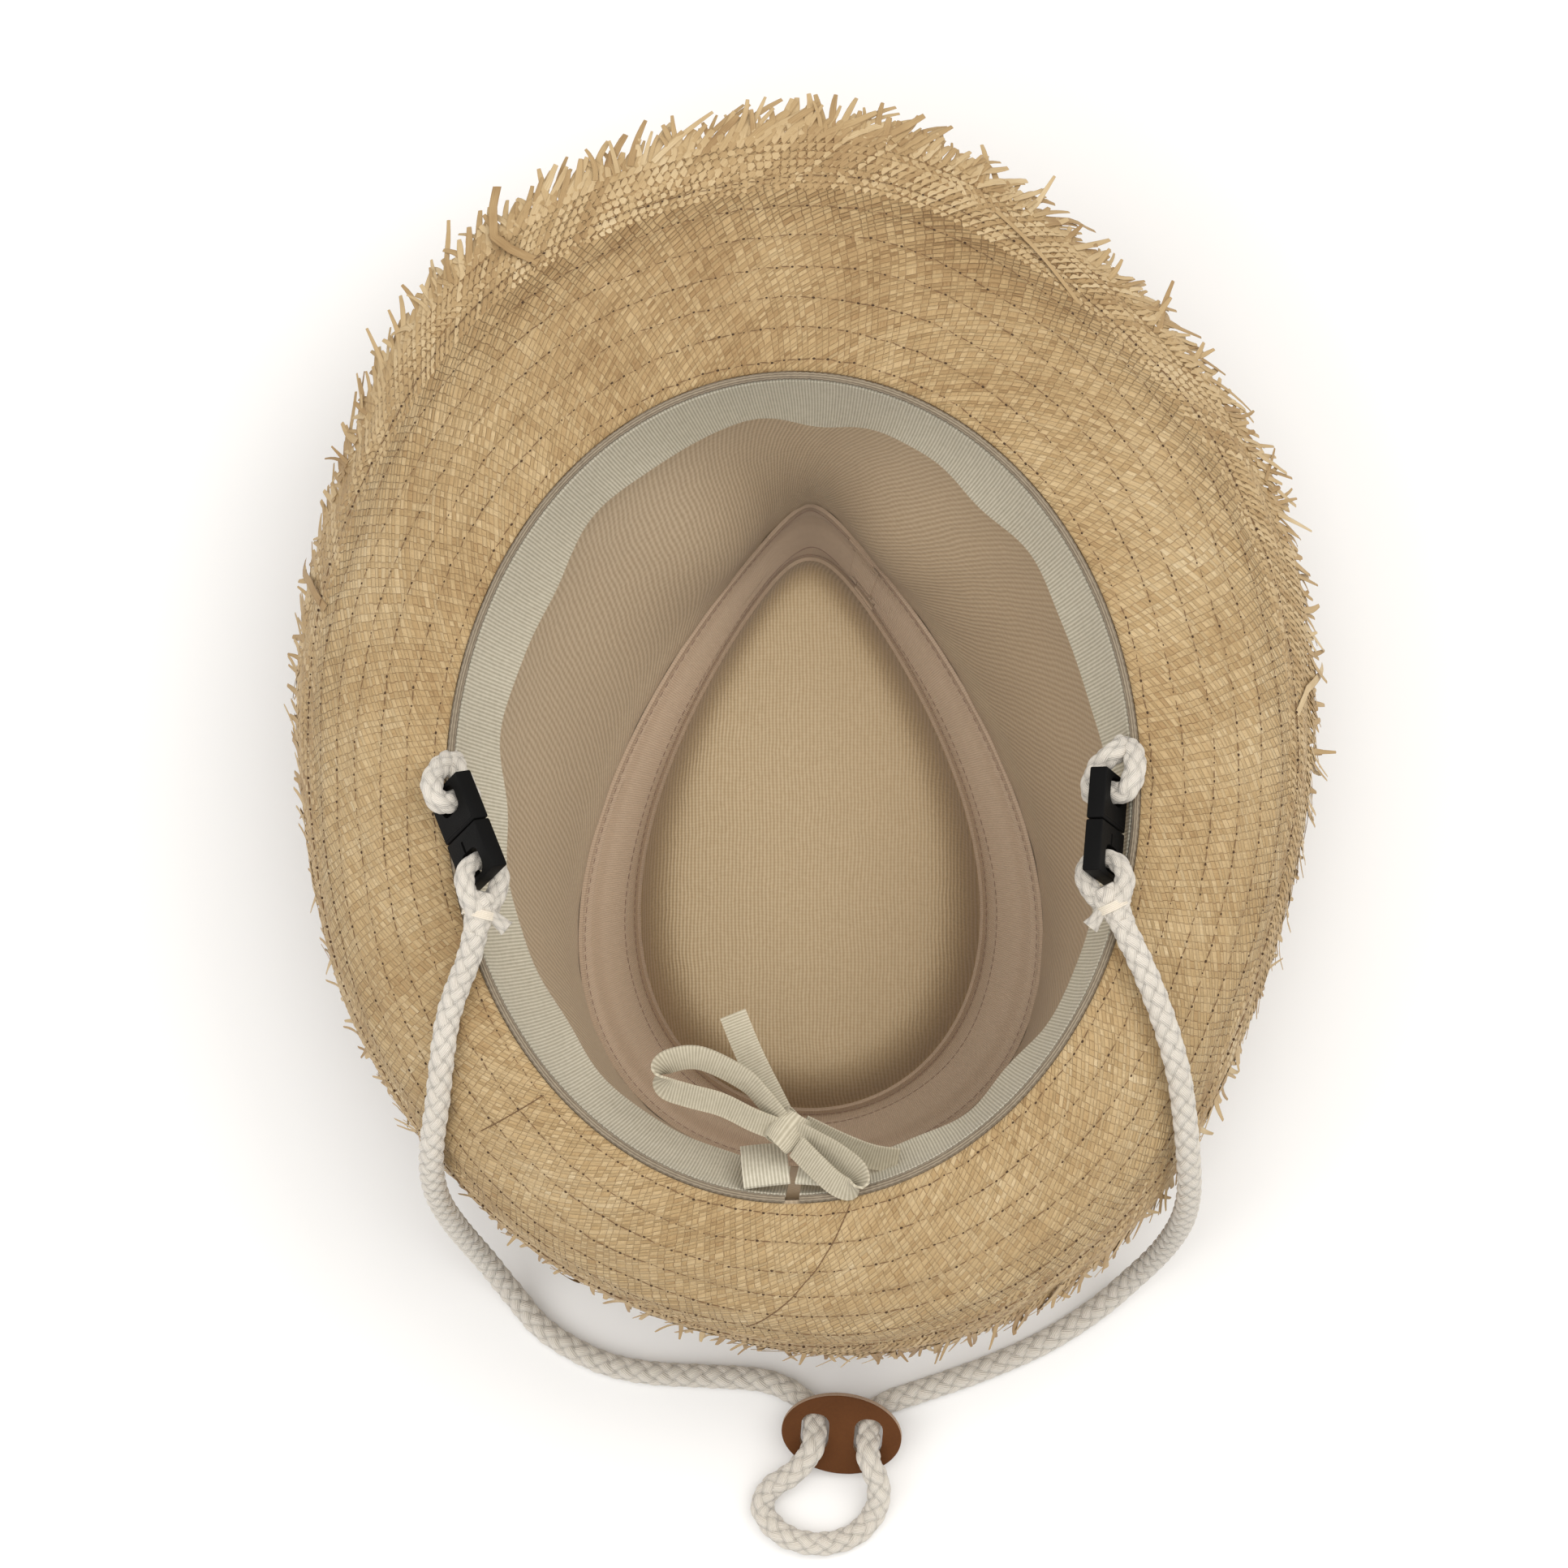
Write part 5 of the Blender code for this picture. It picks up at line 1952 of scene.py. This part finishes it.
@dataclass
class RibbonBow:
    """The small bow at the back: its knot, two loops and two tails."""

    width: float = 0.0066
    thickness: float = 0.0006
    knot_size: Triple = (0.0085, 0.0090, 0.0066)
    knot_turn: float = math.radians(-38)
    knot_at: Triple = (-0.0010, -0.0835, 0.1085)
    wrap_round: float = 0.026
    wrap_thickness: float = 0.0007

    @property
    def knot(self) -> Array:
        """The knot's middle."""
        return FORM.shift + np.array(self.knot_at)

    def near(self, *offsets: Sequence[float]) -> list[Array]:
        """Give places by their offsets from the knot."""
        return [self.knot + np.array(offset) for offset in offsets]

    def build(self, cloth: Material) -> None:
        """Make the ribbons and the knot that holds them.

        Args:
            cloth: the ribbon's finish.
        """
        bands = (
            ("bow_left", "bow_loop_left", self.near(
                (-0.0020, 0.0026, 0.0010), (-0.0060, 0.0075, 0.0012), (-0.0110, 0.0124, 0.0012),
                (-0.0210, 0.0172, 0.0012), (-0.0284, 0.0166, 0.0010), (-0.0312, 0.0138, 0.0008),
                (-0.0296, 0.0104, 0.0006), (-0.0240, 0.0084, 0.0006), (-0.0160, 0.0062, 0.0004),
                (-0.0086, 0.0026, 0.0004), (-0.0030, 0.0004, 0.0004)), (0.0, 0.80, 0.60)),
            ("bow_right", "bow_loop_right", self.near(
                (0.0020, -0.0006, 0.0022), (0.0064, -0.0030, 0.0032), (0.0114, -0.0058, 0.0042),
                (0.0164, -0.0098, 0.0052), (0.0174, -0.0134, 0.0058), (0.0150, -0.0146, 0.0058),
                (0.0112, -0.0128, 0.0056), (0.0064, -0.0084, 0.0048), (0.0020, -0.0040, 0.0034)),
             (0.62, 0.50, 0.60)),
            ("bow_tail_up", "bow_tail_long", self.near(
                (-0.0006, 0.0006, -0.0030), (-0.0046, 0.0084, -0.0058), (-0.0080, 0.0150, -0.0068),
                (-0.0110, 0.0215, -0.0072), (-0.0138, 0.0285, -0.0070)), (0.88, 0.46, 0.0)),
            ("bow_tail_side", "bow_tail_short", self.near(
                (0.0030, 0.0010, -0.0016), (0.0120, -0.0032, -0.0056), (0.0196, -0.0060, -0.0078),
                (0.0262, -0.0070, -0.0088)), (0.30, 0.80, 0.50)),
        )
        for name, node, route, across in bands:
            piece = ribbon(name, route, across, self.width, self.thickness)
            Bench.finish(piece, cloth, "grosgrain", node)
            LOG.info("%s length %.4f m", name, reach_along(along_path(route, RIBBON_STEP))[-1])
        self.build_knot(cloth)

    def build_knot(self, cloth: Material) -> None:
        """Wrap the middle of the bow with one turn of the ribbon.

        Args:
            cloth: the ribbon's finish.
        """
        wide, deep, high = self.knot_size
        turned = np.array(Matrix.Rotation(self.knot_turn, 3, "Z"))

        def shape(a: Array, b: Array) -> Array:
            """Lay the wrap round the ribbons, pinched at its edges and crossed by two creases.

            Args:
                a: shares in the grid's first direction.
                b: shares in its second direction.

            Returns:
                One point for each pair of shares.
            """
            angle = a * FULL_TURN
            pinch = 1 - 0.16 * np.abs(2 * b - 1) ** 3 - 0.05 * np.cos(3 * angle + 5 * b)
            x = (np.sign(np.cos(angle)) * np.abs(np.cos(angle)) ** 0.7) * wide / 2 * pinch
            z = (np.sign(np.sin(angle)) * np.abs(np.sin(angle)) ** 0.8) * high / 2 * pinch
            y = (b - 0.5) * deep * (1 + 0.08 * np.sin(2 * angle))
            return np.stack([x, y, z], axis=-1) @ turned.T + self.knot

        piece = Bench.patch("bow_wrap", 64, 16, shape, chart_of(self.wrap_round, deep),
                            lambda spot, normal: spot - self.knot)
        Bench.thicken(piece, self.wrap_thickness)
        Bench.finish(piece, cloth, "grosgrain", "bow_knot")


# Clips, cord and slider


@dataclass
class ClipSide:
    """One breakaway clip with its rope loop above and the cord's eye below."""

    side: str
    centre: Triple
    along: Triple
    across: Triple
    knot: Triple
    leave: Triple
    outside: tuple[Triple, ...]
    inside: tuple[Triple, ...]
    length: float = 0.0258
    width: float = 0.0148
    thickness: float = 0.0044
    hole_length: float = 0.0066
    hole_width: float = 0.0080
    hole_bar: float = 0.0012
    hole_round: float = 0.0022
    body_round: float = 0.00045
    rope_radius: float = 0.0026
    plait_depth: float = 0.22
    eye_radius: float = 0.0062
    eye_overhang: float = 0.0012
    whipping: float = 0.0055
    join_section: tuple[tuple[float, float], ...] = (
        (-0.0046, 0.0026), (-0.0022, 0.0040), (0.0, 0.0038), (0.0022, 0.0035), (0.0058, 0.0030),
    )
    tail_route: tuple[Triple, ...] = (
        (0.0008, -0.0010, 0.0), (0.0030, 0.0002, 0.0002), (0.0054, 0.0016, 0.0004), (0.0074, 0.0026, 0.0003),
    )

    @property
    def frame(self) -> Matrix:
        """The clip's frame: Y down its length, X across its wide face and Z out of it.

        Returns:
            The frame.
        """
        y_axis = Vector(self.along).normalized()
        z_axis = Vector(self.across).cross(y_axis).normalized()
        spot = Vector(self.centre) + Vector(FORM.shift)
        return frame_at(spot, y_axis.cross(z_axis), y_axis, z_axis)

    @property
    def knot_frame(self) -> Matrix:
        """The whipping's frame, with Y along the cord that leaves it.

        Returns:
            The frame.
        """
        y_axis = Vector(self.leave).normalized()
        x_axis = y_axis.cross(Vector((0, 0, 1))).normalized()
        return frame_at(self.frame @ Vector(self.knot), x_axis, y_axis, x_axis.cross(y_axis))

    def cord_start(self, clearance: float) -> Vector:
        """The point where the chin cord begins below the whipping."""
        return self.knot_frame @ Vector((0, self.whipping / 2 + clearance, 0))

    def hole_centre(self) -> float:
        """The distance of a hole's middle from the clip's middle."""
        return self.length / 2 - self.hole_bar - self.hole_length / 2

    def build_half(self, end: int, plastic: Material) -> None:
        """Mould one half: a bevelled body, its rounded hole, the step at the joint and the latch's slot.

        Args:
            end: 1 for the lower half, -1 for the upper one.
            plastic: its finish.
        """
        label = "lower" if end > 0 else "upper"
        half = (self.length - FORM.gap) / 2
        middle = (0, end * (half + FORM.gap) / 2, 0)
        sides = (self.width, half, self.thickness)
        body = Bench.block(f"clip_half_{label}_{self.side}", sides, middle, self.body_round, 3)
        hole = Bench.block("hole", (self.hole_width, self.hole_length, 3 * self.thickness),
                           (0, end * self.hole_centre(), 0), self.hole_round, 5, Bench.stands_up)
        Bench.carve(body, hole)
        if end > 0:
            for face in (1, -1):
                slot = Bench.block("slot", (0.0009, 0.0030, 0.0012),
                                   (0.0008, 0.0036, face * self.thickness / 2), 0.0003, 2)
                Bench.carve(body, slot)
        else:
            lip = Bench.block("lip", (self.width - 0.0012, 0.0005, self.thickness + 0.0002),
                              (0, -FORM.gap / 2 - 0.0009, 0), 0.0001, 1)
            Bench.carve(body, lip, "UNION")
        body.data.transform(self.frame)
        Bench.finish(body, plastic, "clip_plastic", f"clip_{label}_{self.side}", angle=25)

    def build_anchor(self, cotton: Material) -> None:
        """Run the rope loop from the mouth's seam through the upper hole and back.

        Args:
            cotton: the braid's finish.
        """
        through = (Vector((0, -self.hole_centre(), out)) for out in (0.0040, 0.0, -0.0040))
        route = [np.array(spot) + FORM.shift for spot in self.outside]
        route += [np.array(self.frame @ spot) for spot in through]
        route += [np.array(spot) + FORM.shift for spot in self.inside]
        path = along_path(route, ROPE_STEP)
        piece = rope(f"loop_rope_{self.side}", path, 1.12 * self.rope_radius, 20, self.plait_depth)
        Bench.finish(piece, cotton, "cotton_cord", f"anchor_loop_{self.side}", angle=70)

    def build_eye(self, cotton: Material, thread: Material) -> Piece:
        """Loop the cord through the lower hole, whip it and leave its short cut tail.

        Args:
            cotton: the braid's finish.
            thread: the whipping thread's finish.

        Returns:
            The eye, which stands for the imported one.
        """
        ring_y = self.length / 2 + self.eye_overhang
        aside, _, lift = self.knot
        angles = np.linspace(0.10, FULL_TURN - 0.10, 90)
        near = (0.5 + 0.5 * np.cos(angles)) ** 1.5
        close = 1 - 0.62 * near
        spots = np.stack([aside * near, ring_y + self.eye_radius * np.cos(angles),
                          lift * near + self.eye_radius * np.sin(angles) * close], axis=-1)
        path = np.array([self.frame @ Vector(spot) for spot in spots])
        size = self.rope_radius * (1 + 0.10 * np.cos(angles))
        route = along_path(path, ROPE_STEP)
        size = np.interp(np.linspace(0, 1, len(route)), np.linspace(0, 1, 90), size)
        eye = rope(f"eye_rope_{self.side}", route, size, 20, self.plait_depth)
        Bench.finish(eye, cotton, "cotton_cord", f"cord_eye_{self.side}", angle=70)
        knot = self.knot_frame
        reaches, radii = zip(*self.join_section)
        run = np.linspace(reaches[0], self.whipping / 2 + 0.0030, 40)
        line = np.array([knot @ Vector((0, along, 0)) for along in run])
        body = np.interp(run, reaches, radii)
        across = np.array(knot.to_3x3() @ Vector((1, 0, 0)))
        wrap = rope(f"eye_join_{self.side}", line, body, 24, 0.12, 0.86, across)
        Bench.finish(wrap, cotton, "cotton_cord", angle=70)
        turns, steps = 5, 24
        wind = np.arange(turns * steps + 1) / steps
        coil = np.stack([0.00405 * np.cos(wind * FULL_TURN), -0.0004 + 0.00042 * wind,
                         0.00355 * np.sin(wind * FULL_TURN)], axis=-1)
        coil_path = np.array([knot @ Vector(spot) for spot in coil])
        whip = rope(f"eye_thread_{self.side}", coil_path, 0.00026, 6)
        Bench.finish(whip, thread, "cotton_cord", angle=70)
        inward = -1 if self.side == "left" else 1
        tail_path = along_path([knot @ Vector((inward * x, y, z)) for x, y, z in self.tail_route], 0.0004)
        share = np.linspace(0, 1, len(tail_path))
        tail = rope(f"eye_tail_{self.side}", tail_path, 0.0018 + 0.0008 * share ** 2, 20, 0.18, 0.8)
        Bench.finish(tail, cotton, "cotton_cord", angle=70)
        return eye

    def build(self, plastic: Material, cotton: Material,
              thread: Material) -> Piece:
        """Make the clip, its loop and its eye.

        Args:
            plastic: the clips' finish.
            cotton: the braid's finish.
            thread: the whipping thread's finish.

        Returns:
            The eye, for the cord to end in.
        """
        self.build_half(-1, plastic)
        self.build_half(1, plastic)
        self.build_anchor(cotton)
        return self.build_eye(cotton, thread)


CLIPS = (
    ClipSide(
        "left", (-0.0776, -0.0122, 0.1202), (0.374, -0.908, 0.190), (-0.530, -0.385, -0.755),
        (0.0039, 0.0191, 0.0022), (-0.25, -0.96, -0.10),
        ((-0.0826, 0.0066, 0.1080), (-0.0838, 0.0054, 0.1120), (-0.0853, 0.0032, 0.1160),
         (-0.0863, 0.0000, 0.1194), (-0.0857, -0.0032, 0.1216)),
        ((-0.0786, -0.0012, 0.1140), (-0.0802, 0.0018, 0.1130), (-0.0814, 0.0040, 0.1120),
         (-0.0820, 0.0060, 0.1084)),
    ),
    ClipSide(
        "right", (0.0755, -0.0110, 0.1140), (-0.085, -0.982, 0.170), (-0.366, 0.202, 0.908),
        (-0.0015, 0.0188, 0.0028), (0.45, -0.88, -0.12),
        ((0.0813, 0.0090, 0.1078), (0.0822, 0.0070, 0.1118), (0.0827, 0.0042, 0.1140),
         (0.0824, 0.0014, 0.1152), (0.0814, -0.0012, 0.1153)),
        ((0.0726, 0.0004, 0.1098), (0.0738, 0.0034, 0.1106), (0.0762, 0.0058, 0.1122),
         (0.0786, 0.0074, 0.1118), (0.0798, 0.0092, 0.1084)),
    ),
)


@dataclass
class ChinCord:
    """The braided cord and the leather slider on it."""

    diameter: float = 0.006
    clearance: float = 0.0016
    slider_size: Triple = (0.031, 0.022, 0.0022)
    slot_spacing: float = 0.0138
    slot_width: float = 0.0073
    slot_length: float = 0.0104
    slider_place: Triple = (0.0081, -0.1574, 0.0080)
    slider_tilt: float = math.radians(24)
    slider_turn: float = math.radians(-6)
    slider_round: float = 0.00035
    route: tuple[Triple, ...] = (
        (-0.0762, -0.0392, 0.1198), (-0.0778, -0.0436, 0.1171), (-0.0799, -0.0480, 0.1143),
        (-0.0820, -0.0530, 0.1117), (-0.0836, -0.0584, 0.1094), (-0.0850, -0.0664, 0.1062),
        (-0.0866, -0.0760, 0.1003), (-0.0888, -0.0850, 0.0915), (-0.0902, -0.0920, 0.0800),
        (-0.0904, -0.0975, 0.0665), (-0.0892, -0.1022, 0.0520), (-0.0868, -0.1072, 0.0350),
        (-0.0828, -0.1135, 0.0175), (-0.0772, -0.1215, 0.0064), (-0.0690, -0.1310, 0.0032),
        (-0.0560, -0.1385, 0.0031), (-0.0430, -0.1418, 0.0031), (-0.0270, -0.1428, 0.0031),
        (-0.0130, -0.1438, 0.0031), (-0.0046, -0.1470, 0.0036), (0.0004, -0.1516, 0.0053),
        (0.0012, -0.1567, 0.0083), (0.0004, -0.1618, 0.0109), (-0.0042, -0.1674, 0.0096),
        (-0.0104, -0.1716, 0.0056), (-0.0124, -0.1772, 0.0032), (-0.0072, -0.1834, 0.0031),
        (0.0018, -0.1858, 0.0031), (0.0108, -0.1836, 0.0032), (0.0164, -0.1776, 0.0042),
        (0.0176, -0.1708, 0.0080), (0.0152, -0.1640, 0.0111), (0.0150, -0.1581, 0.0077),
        (0.0156, -0.1532, 0.0050), (0.0198, -0.1496, 0.0037), (0.0290, -0.1464, 0.0031),
        (0.0440, -0.1412, 0.0031), (0.0600, -0.1342, 0.0032), (0.0734, -0.1258, 0.0046),
        (0.0830, -0.1178, 0.0106), (0.0892, -0.1120, 0.0235), (0.0930, -0.1072, 0.0400),
        (0.0952, -0.1026, 0.0560), (0.0960, -0.0972, 0.0710), (0.0956, -0.0900, 0.0840),
        (0.0946, -0.0810, 0.0938), (0.0930, -0.0706, 0.1016), (0.0902, -0.0604, 0.1076),
        (0.0868, -0.0510, 0.1122), (0.0834, -0.0432, 0.1146), (0.0803, -0.0368, 0.1158),
    )

    def path(self, step: float) -> Array:
        """Give the cord's centre line at even steps."""
        ends = [np.array(clip.cord_start(self.clearance)) for clip in CLIPS]
        return along_path([ends[0], *(np.array(spot) + FORM.shift for spot in self.route), ends[1]], step)

    def build_slider(self, leather: Material) -> Piece:
        """Cut the oval from leather, round its edges and punch its two slots.

        Args:
            leather: the slider's finish.

        Returns:
            The slider.
        """
        long, high, thick = self.slider_size
        Bench.clear()
        bpy.ops.mesh.primitive_cylinder_add(vertices=96, radius=0.5, depth=1.0, location=(0, 0, 0))
        piece = bpy.context.object
        piece.name = piece.data.name = "slider_oval"
        piece.data.transform(Matrix.Diagonal((long, high, thick, 1.0)))
        Bench.round_edges(piece, self.slider_round, 3, Bench.lies_flat)
        for k in (-1, 1):
            slot = Bench.block("slot", (self.slot_width, self.slot_length, 4 * thick),
                               (k * self.slot_spacing / 2, 0, 0), self.slot_width * 0.42, 6, Bench.stands_up)
            Bench.carve(piece, slot)
        self.mark_cut_edge(piece)
        turn = Matrix.Rotation(self.slider_turn, 4, "Z") @ Matrix.Rotation(self.slider_tilt, 4, "X")
        piece.data.transform(Matrix.Translation(Vector(self.slider_place) + Vector(FORM.shift)) @ turn)
        return Bench.finish(piece, leather, "slider_leather", "slider", angle=30)

    @staticmethod
    def mark_cut_edge(piece: Piece) -> None:
        """Write into the second surface coordinate which faces are the cut edge.

        Args:
            piece: the slider.
        """
        mesh = piece.data
        chart = mesh.uv_layers[0] if mesh.uv_layers else mesh.uv_layers.new(name="UVMap")
        for face in mesh.polygons:
            cut = 1.0 if abs(face.normal.z) < 0.5 else 0.0
            for corner in face.loop_indices:
                chart.data[corner].uv = (mesh.vertices[mesh.loops[corner].vertex_index].co.x, cut)

    def build(self, cotton: Material, leather: Material,
              eyes: Sequence[Piece]) -> None:
        """Args:
            cotton: the braid's finish.
            leather: the slider's finish.
            eyes: not used.
        """
        path = self.path(0.00045)
        cord = rope("chin_braid", path, self.diameter / 2 * 1.06, 28, 0.20)
        Bench.finish(cord, cotton, "cotton_cord", "chin_cord", angle=70)
        slider = self.build_slider(leather)


# Floor, light and camera


@dataclass
class Studio:
    """A pale floor, soft light and the camera at the photograph's angle."""

    lens: float = 123.5
    distance: float = 1.3
    target: Triple = (-0.00196, 0.0, 0.110)
    direction: Triple = (0.047, -0.105, 1.0)
    sky: Colour = (1.0, 0.985, 0.96)
    sky_strength: float = 0.72

    def build(self) -> None:
        """Set up the stage."""
        self.build_floor()
        self.build_camera()
        self.build_light()

    def build_camera(self) -> None:
        """Place the camera nearly above the opening."""
        target = Vector(FORM.shift) + Vector(self.target)
        direction = Vector(self.direction).normalized()
        data = bpy.data.cameras.new("camera")
        data.lens = self.lens
        data.sensor_width = 36.0
        camera = Bench.link("camera", data)
        right = Vector((0, 1, 0)).cross(direction).normalized()
        up = direction.cross(right)
        camera.matrix_world = frame_at(target + direction * self.distance, right, up, direction)
        bpy.context.scene.camera = camera

    @staticmethod
    def build_floor() -> None:
        """Add the pale floor."""
        Bench.clear()
        bpy.ops.mesh.primitive_plane_add(size=8, location=(0, 0, 0))
        floor = bpy.context.object
        floor.name = "floor"
        floor.data.materials.append(Board("pale_floor").surface((0.88, 0.88, 0.88), 0.8))

    def build_light(self) -> None:
        """Add a bright sky and four soft panels."""
        scene = bpy.context.scene
        scene.view_settings.view_transform = "Standard"
        world = bpy.data.worlds.new("studio")
        scene.world = world
        world.use_nodes = True
        background = world.node_tree.nodes["Background"]
        background.inputs["Color"].default_value = (*self.sky, 1.0)
        background.inputs["Strength"].default_value = self.sky_strength
        panels = (
            ("key", (0.80, 0.35, 1.30), 0.8, 7.8, (1.0, 0.97, 0.93)),
            ("fill", (-0.85, -0.30, 1.15), 1.1, 5.2, (1.0, 0.98, 0.96)),
            ("rear", (0.10, -1.20, 0.90), 1.0, 1.8, (1.0, 0.98, 0.95)),
            ("top", (0.12, 0.05, 1.75), 0.9, 8.0, (1.0, 0.98, 0.95)),
        )
        for name, place, size, power, tint in panels:
            light = bpy.data.lights.new(name, "AREA")
            light.size = size
            light.energy = power
            light.color = tint
            lamp = Bench.link(name, light)
            lamp.location = place
            aim = Vector((0, 0, 0.05)) - Vector(place)
            lamp.rotation_euler = aim.to_track_quat("-Z", "Y").to_euler()


def main() -> None:
    """Build the stage, then the cords, then the hat from the outside in."""
    logging.basicConfig(level=logging.INFO, format="%(message)s")
    Studio().build()
    cotton = BraidCotton("cotton_braid").make()
    white_thread = PlainFinish("whipping_thread", (0.62, 0.55, 0.45), (0.78, 0.72, 0.62), 0.7, 0.9).make()
    plastic = PlainFinish("black_plastic", (0.0035, 0.0035, 0.0038), (0.0075, 0.0073, 0.0070), 0.46, 0.62,
                          1600.0, specular=0.06).make()
    leather = SliderLeather("brown_leather").make()
    eyes = [clip.build(plastic, cotton, white_thread) for clip in CLIPS]
    ChinCord().build(cotton, leather, eyes)

    brim_weave = StrawWeave("brim_weave", Lie.ROUND, coarse_from=0.030, coarse_to=0.043, rows_until=0.050,
                            darker_near_mouth_to=0.020).make()
    crown_weave = StrawWeave("crown_weave", Lie.ROUND).make()
    tip_weave = StrawWeave("tip_weave", Lie.FLAT).make()
    strand = StrandStraw("loose_straw").make()
    brown_thread = PlainFinish("brown_thread", (0.11, 0.058, 0.025), (0.22, 0.130, 0.060), 0.7, 0.9).make()
    StrawCrown().build(crown_weave, tip_weave)
    # Painted shade: the needle holes' dark brown stands for the shade inside them.
    needle_hole = PlainFinish("needle_hole", (0.035, 0.018, 0.008), (0.08, 0.042, 0.02), 0.8, 0.95).make()
    StrawBrim().build(brim_weave, strand, brown_thread, needle_hole)

    wall_tones = ((0.42, 0.320, 0.212), (0.60, 0.490, 0.348))
    tip_tones = ((0.38, 0.275, 0.155), (0.53, 0.42, 0.275))
    wall_cloth = LiningTwill("lining_twill", wall_tones, 640.0, 520.0).make()
    tip_cloth = LiningTwill("lining_plain", tip_tones, 1050.0, 0.0).make()
    tape_tones = ((0.47, 0.355, 0.255), (0.62, 0.48, 0.355))
    tape = Grosgrain("seam_tape", tape_tones, 0.00052, FORM.tape_width).make()
    rose_thread = PlainFinish("tape_thread", (0.24, 0.155, 0.115), (0.36, 0.25, 0.19), 0.7, 0.9).make()
    HatLining().build(wall_cloth, tip_cloth, tape, rose_thread)

    band = Grosgrain("band_ribbon", ((0.34, 0.305, 0.22), (0.76, 0.715, 0.590)), 0.00088, painted_shade=0.22).make()
    band_edge = Grosgrain("band_edge", ((0.10, 0.072, 0.048), (0.38, 0.315, 0.225)), 0.125).make()
    HatBand().build(band, band_edge)
    bow = Grosgrain("bow_ribbon", ((0.31, 0.27, 0.19), (0.60, 0.545, 0.42)), 0.00070, RibbonBow.width).make()
    RibbonBow().build(bow)


if __name__ == "__main__":
    main()
